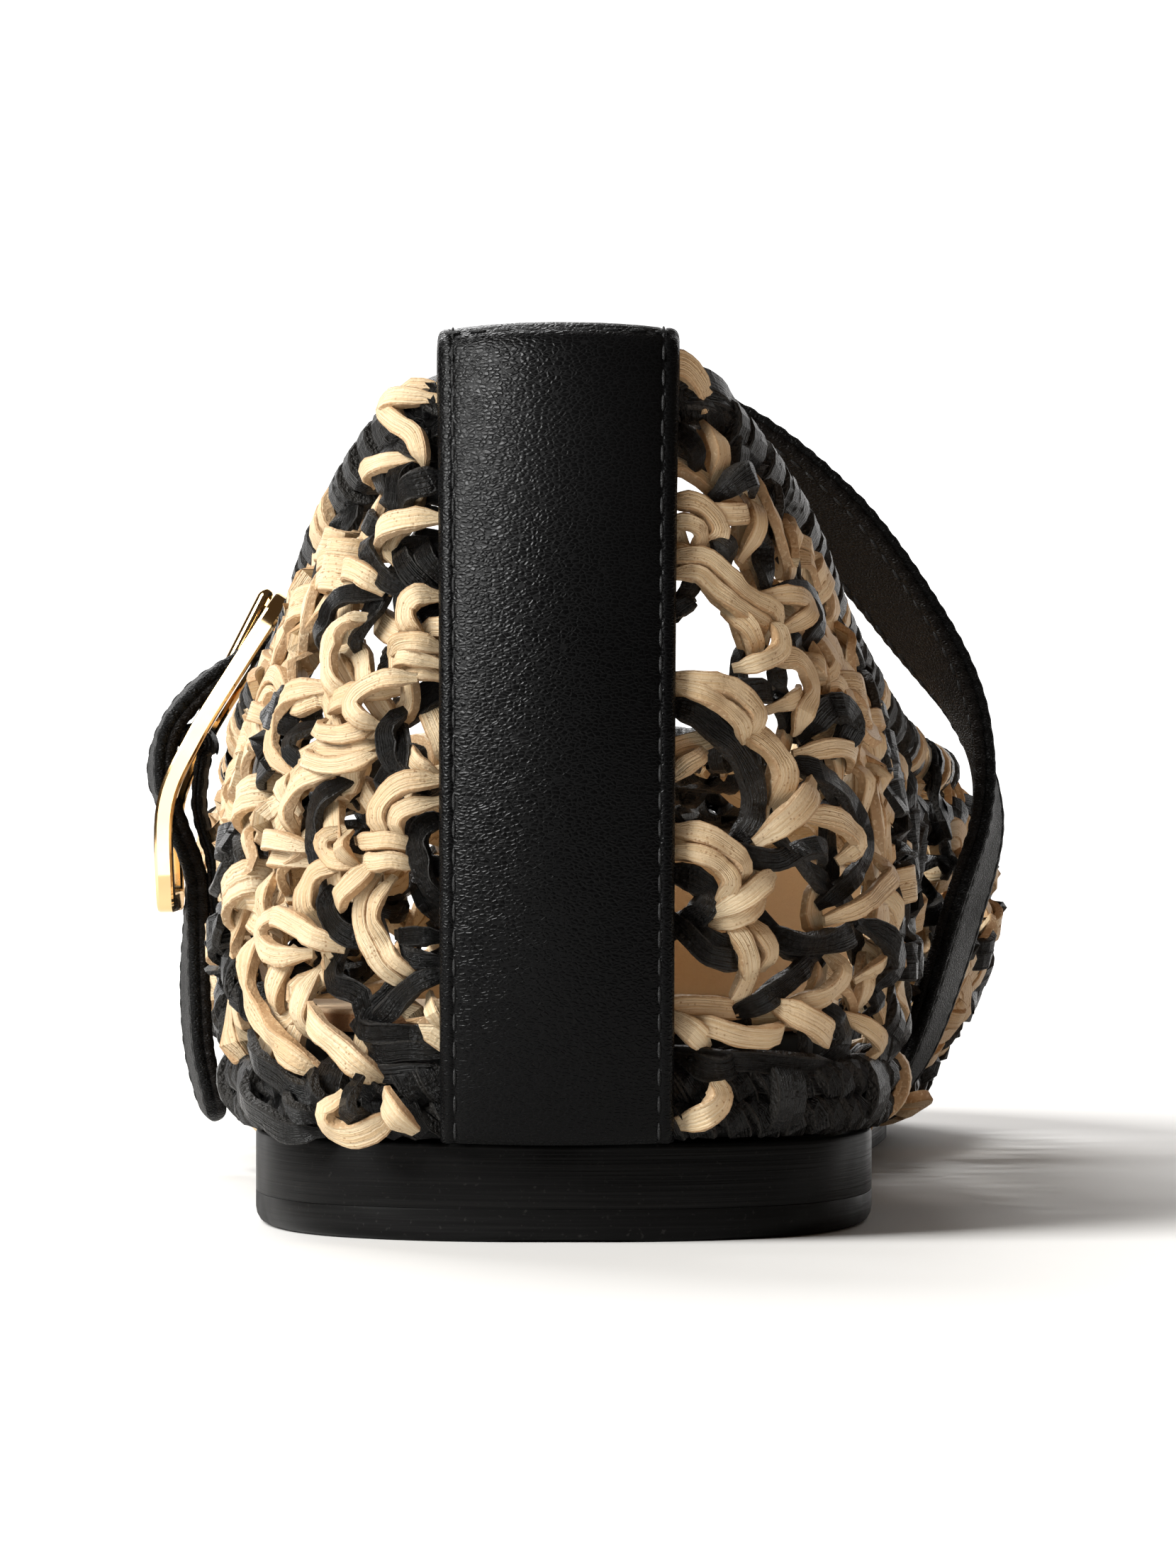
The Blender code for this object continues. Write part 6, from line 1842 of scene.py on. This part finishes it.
def makeNet():
    tieKnots(layStrands())
    layRopes()
    layLaid()
    layCrown()
    for colour, finish, slotName in (
        ("natural", "stripNatural", "net_leather"), ("black", "stripBlack", "black_leather"),
    ):
        for kind, store, sizes in (
            ("Strands", strips, netWork), ("Knots", wraps, netWork), ("Edges", ropeStrips, ropeWork),
        ):
            piece = fromNodes("net" + kind + colour.capitalize(), store[colour], trees["strip"], {
                "Width": sizes["width"] * mm, "Thick": sizes["thick"] * mm,
                "Uneven": sizes["uneven"] * mm, "Leather": finishes[finish]})
            keepPiece(piece, slotName, "upper")


makeNet()

# lining behind the back strip, where the net's two ends meet
liningWork = {"half": 8.3, "columns": 12, "levels": 40, "front": 0.5, "back": -1.9}


def liningSheet(name, gridU, gridV, work, finish):
    front, back = (lastPoint(gridU, gridV, work[face]) for face in ("front", "back"))
    return newPiece(name, *slab(front, back), finishes[finish])


def makeHeelLining():
    out = np.linspace(-liningWork["half"], liningWork["half"], liningWork["columns"])
    v = np.linspace(0, 1, liningWork["levels"])
    gridV = np.repeat(v[:, None], len(out), axis=1)
    gridU = np.array([heelU(out, level) for level in v])
    lining = liningSheet("heelLining", gridU, gridV, liningWork, "blackGrain")
    keepPiece(lining, "black_leather", "upper")


makeHeelLining()

# tan lining low in the toe, which shows through the openings beside the back strip
toeWork = {
    "from": 8.8, "to": 15.2, "columns": 90, "levels": 20, "low": 0.1, "high": 0.5, "outerHigh": 0.2,
    "fallFrom": 12.0, "fallTo": 13.2, "front": -2.4, "back": -3.2,
}


def makeToeLining():
    u = np.linspace(toeWork["from"], toeWork["to"], toeWork["columns"])
    gridU, share = np.meshgrid(u, np.linspace(0, 1, toeWork["levels"]), indexing="ij")
    fall = easeStep(gridU, toeWork["fallFrom"], toeWork["fallTo"])
    high = toeWork["high"] + (toeWork["outerHigh"] - toeWork["high"]) * fall
    gridV = toeWork["low"] + (high - toeWork["low"]) * share
    keepPiece(liningSheet("toeLining", gridU, gridV, toeWork, "liningTan"), "insole_leather", "upper")


makeToeLining()
print("net made")

# floor, light and camera
stage = {
    "floorSide": 2.0, "floorFront": -1.6, "floorBack": 0.75, "floorColour": (0.79, 0.78, 0.765),
    "floorRough": 0.7, "aim": (0.0, -0.08, 0.03), "white": (1.0, 1.0, 1.0), "nearest": 0.01,
}
lights = {
    "key": {"from": (-1.35, -0.85, 1.15), "size": (1.1, 1.1), "power": 70.0, "colour": (1.0, 1.0, 0.985)},
    "rear": {"from": (-0.5, 1.3, 1.3), "size": (0.9, 0.9), "power": 22.0},
    # a shaded lamp that reaches the back strip alone
    "sheen": {"from": (-1.06, -1.3, 1.3), "size": (0.3, 0.6), "power": 41.0,
              "only": ["backStripLeather", "backStripStitches"]},
    # warm light from the inner side that reaches the net alone
    "warm": {"from": (1.1, -0.9, 0.3), "size": (0.6, 0.6), "power": 2.0, "colour": (1.0, 0.46, 0.14),
             "only": ["netStrandsNatural", "netKnotsNatural", "netEdgesNatural", "netStrandsBlack",
                      "netKnotsBlack", "netEdgesBlack"]},
    "gleam": {"from": (-0.14, -1.5, 0.06), "size": (0.22, 0.22), "power": 0.5},
    # a lit white sheet closes the view behind the floor
    "sheet": {"from": (0.0, 0.75, 0.35), "size": (1.2, 0.7), "power": 3.9, "aim": (0.0, 0.0, 0.35),
              "seen": True},
}
world = {"colour": (1.0, 0.72, 0.48), "strength": 0.06}


def paleFloor(tree, look):
    return {"Base Color": (*look["floorColour"], 1.0), "Roughness": look["floorRough"]}


def makeFloor():
    side, front, back = stage["floorSide"], stage["floorFront"], stage["floorBack"]
    mesh = bpy.data.meshes.new("floor")
    corners = [(-side, front, 0), (side, front, 0), (side, back, 0), (-side, back, 0)]
    mesh.from_pydata(corners, [], [(0, 1, 2, 3)])
    mesh.materials.append(newFinish("paleFloor", paleFloor, stage))
    linkNew("floor", mesh)


def aimAt(thing, target):
    thing.rotation_euler = (Vector(target) - thing.location).to_track_quat("-Z", "Y").to_euler()


def makeLights():
    for name, light in lights.items():
        data = bpy.data.lights.new(name, "AREA")
        data.shape = "RECTANGLE"
        data.size, data.size_y = light["size"]
        data.energy = light["power"]
        data.color = light.get("colour", stage["white"])
        lamp = linkNew(name, data)
        lamp.location = light["from"]
        lamp.visible_camera = light.get("seen", False)
        aimAt(lamp, light.get("aim", stage["aim"]))
        if "only" in light:
            reached = bpy.data.collections.new(name + "Reached")
            for pieceName in light["only"]:
                reached.objects.link(bpy.data.objects[pieceName])
            lamp.light_linking.receiver_collection = reached
    sky = bpy.data.worlds.new("studio")
    sky.use_nodes = True
    background = sky.node_tree.nodes["Background"].inputs
    feed(sky.node_tree, background, {"Color": (*world["colour"], 1.0), "Strength": world["strength"]})
    bpy.context.scene.world = sky
    bpy.context.scene.view_settings.view_transform = "Standard"


def makeCamera():
    data = bpy.data.cameras.new("camera")
    data.sensor_fit = "HORIZONTAL"
    data.sensor_width = view["sensor"]
    data.lens = view["sensor"] * view["distance"] / (2 * view["halfWidth"])
    data.clip_start = stage["nearest"]
    camera = linkNew("camera", data)
    camera.location = toFrame((view["out"], -view["distance"], view["height"]))
    aimAt(camera, toFrame((view["aimOut"], 0.0, view["height"])))
    bpy.context.scene.camera = camera


makeFloor()
makeLights()
makeCamera()

print("scene ready")
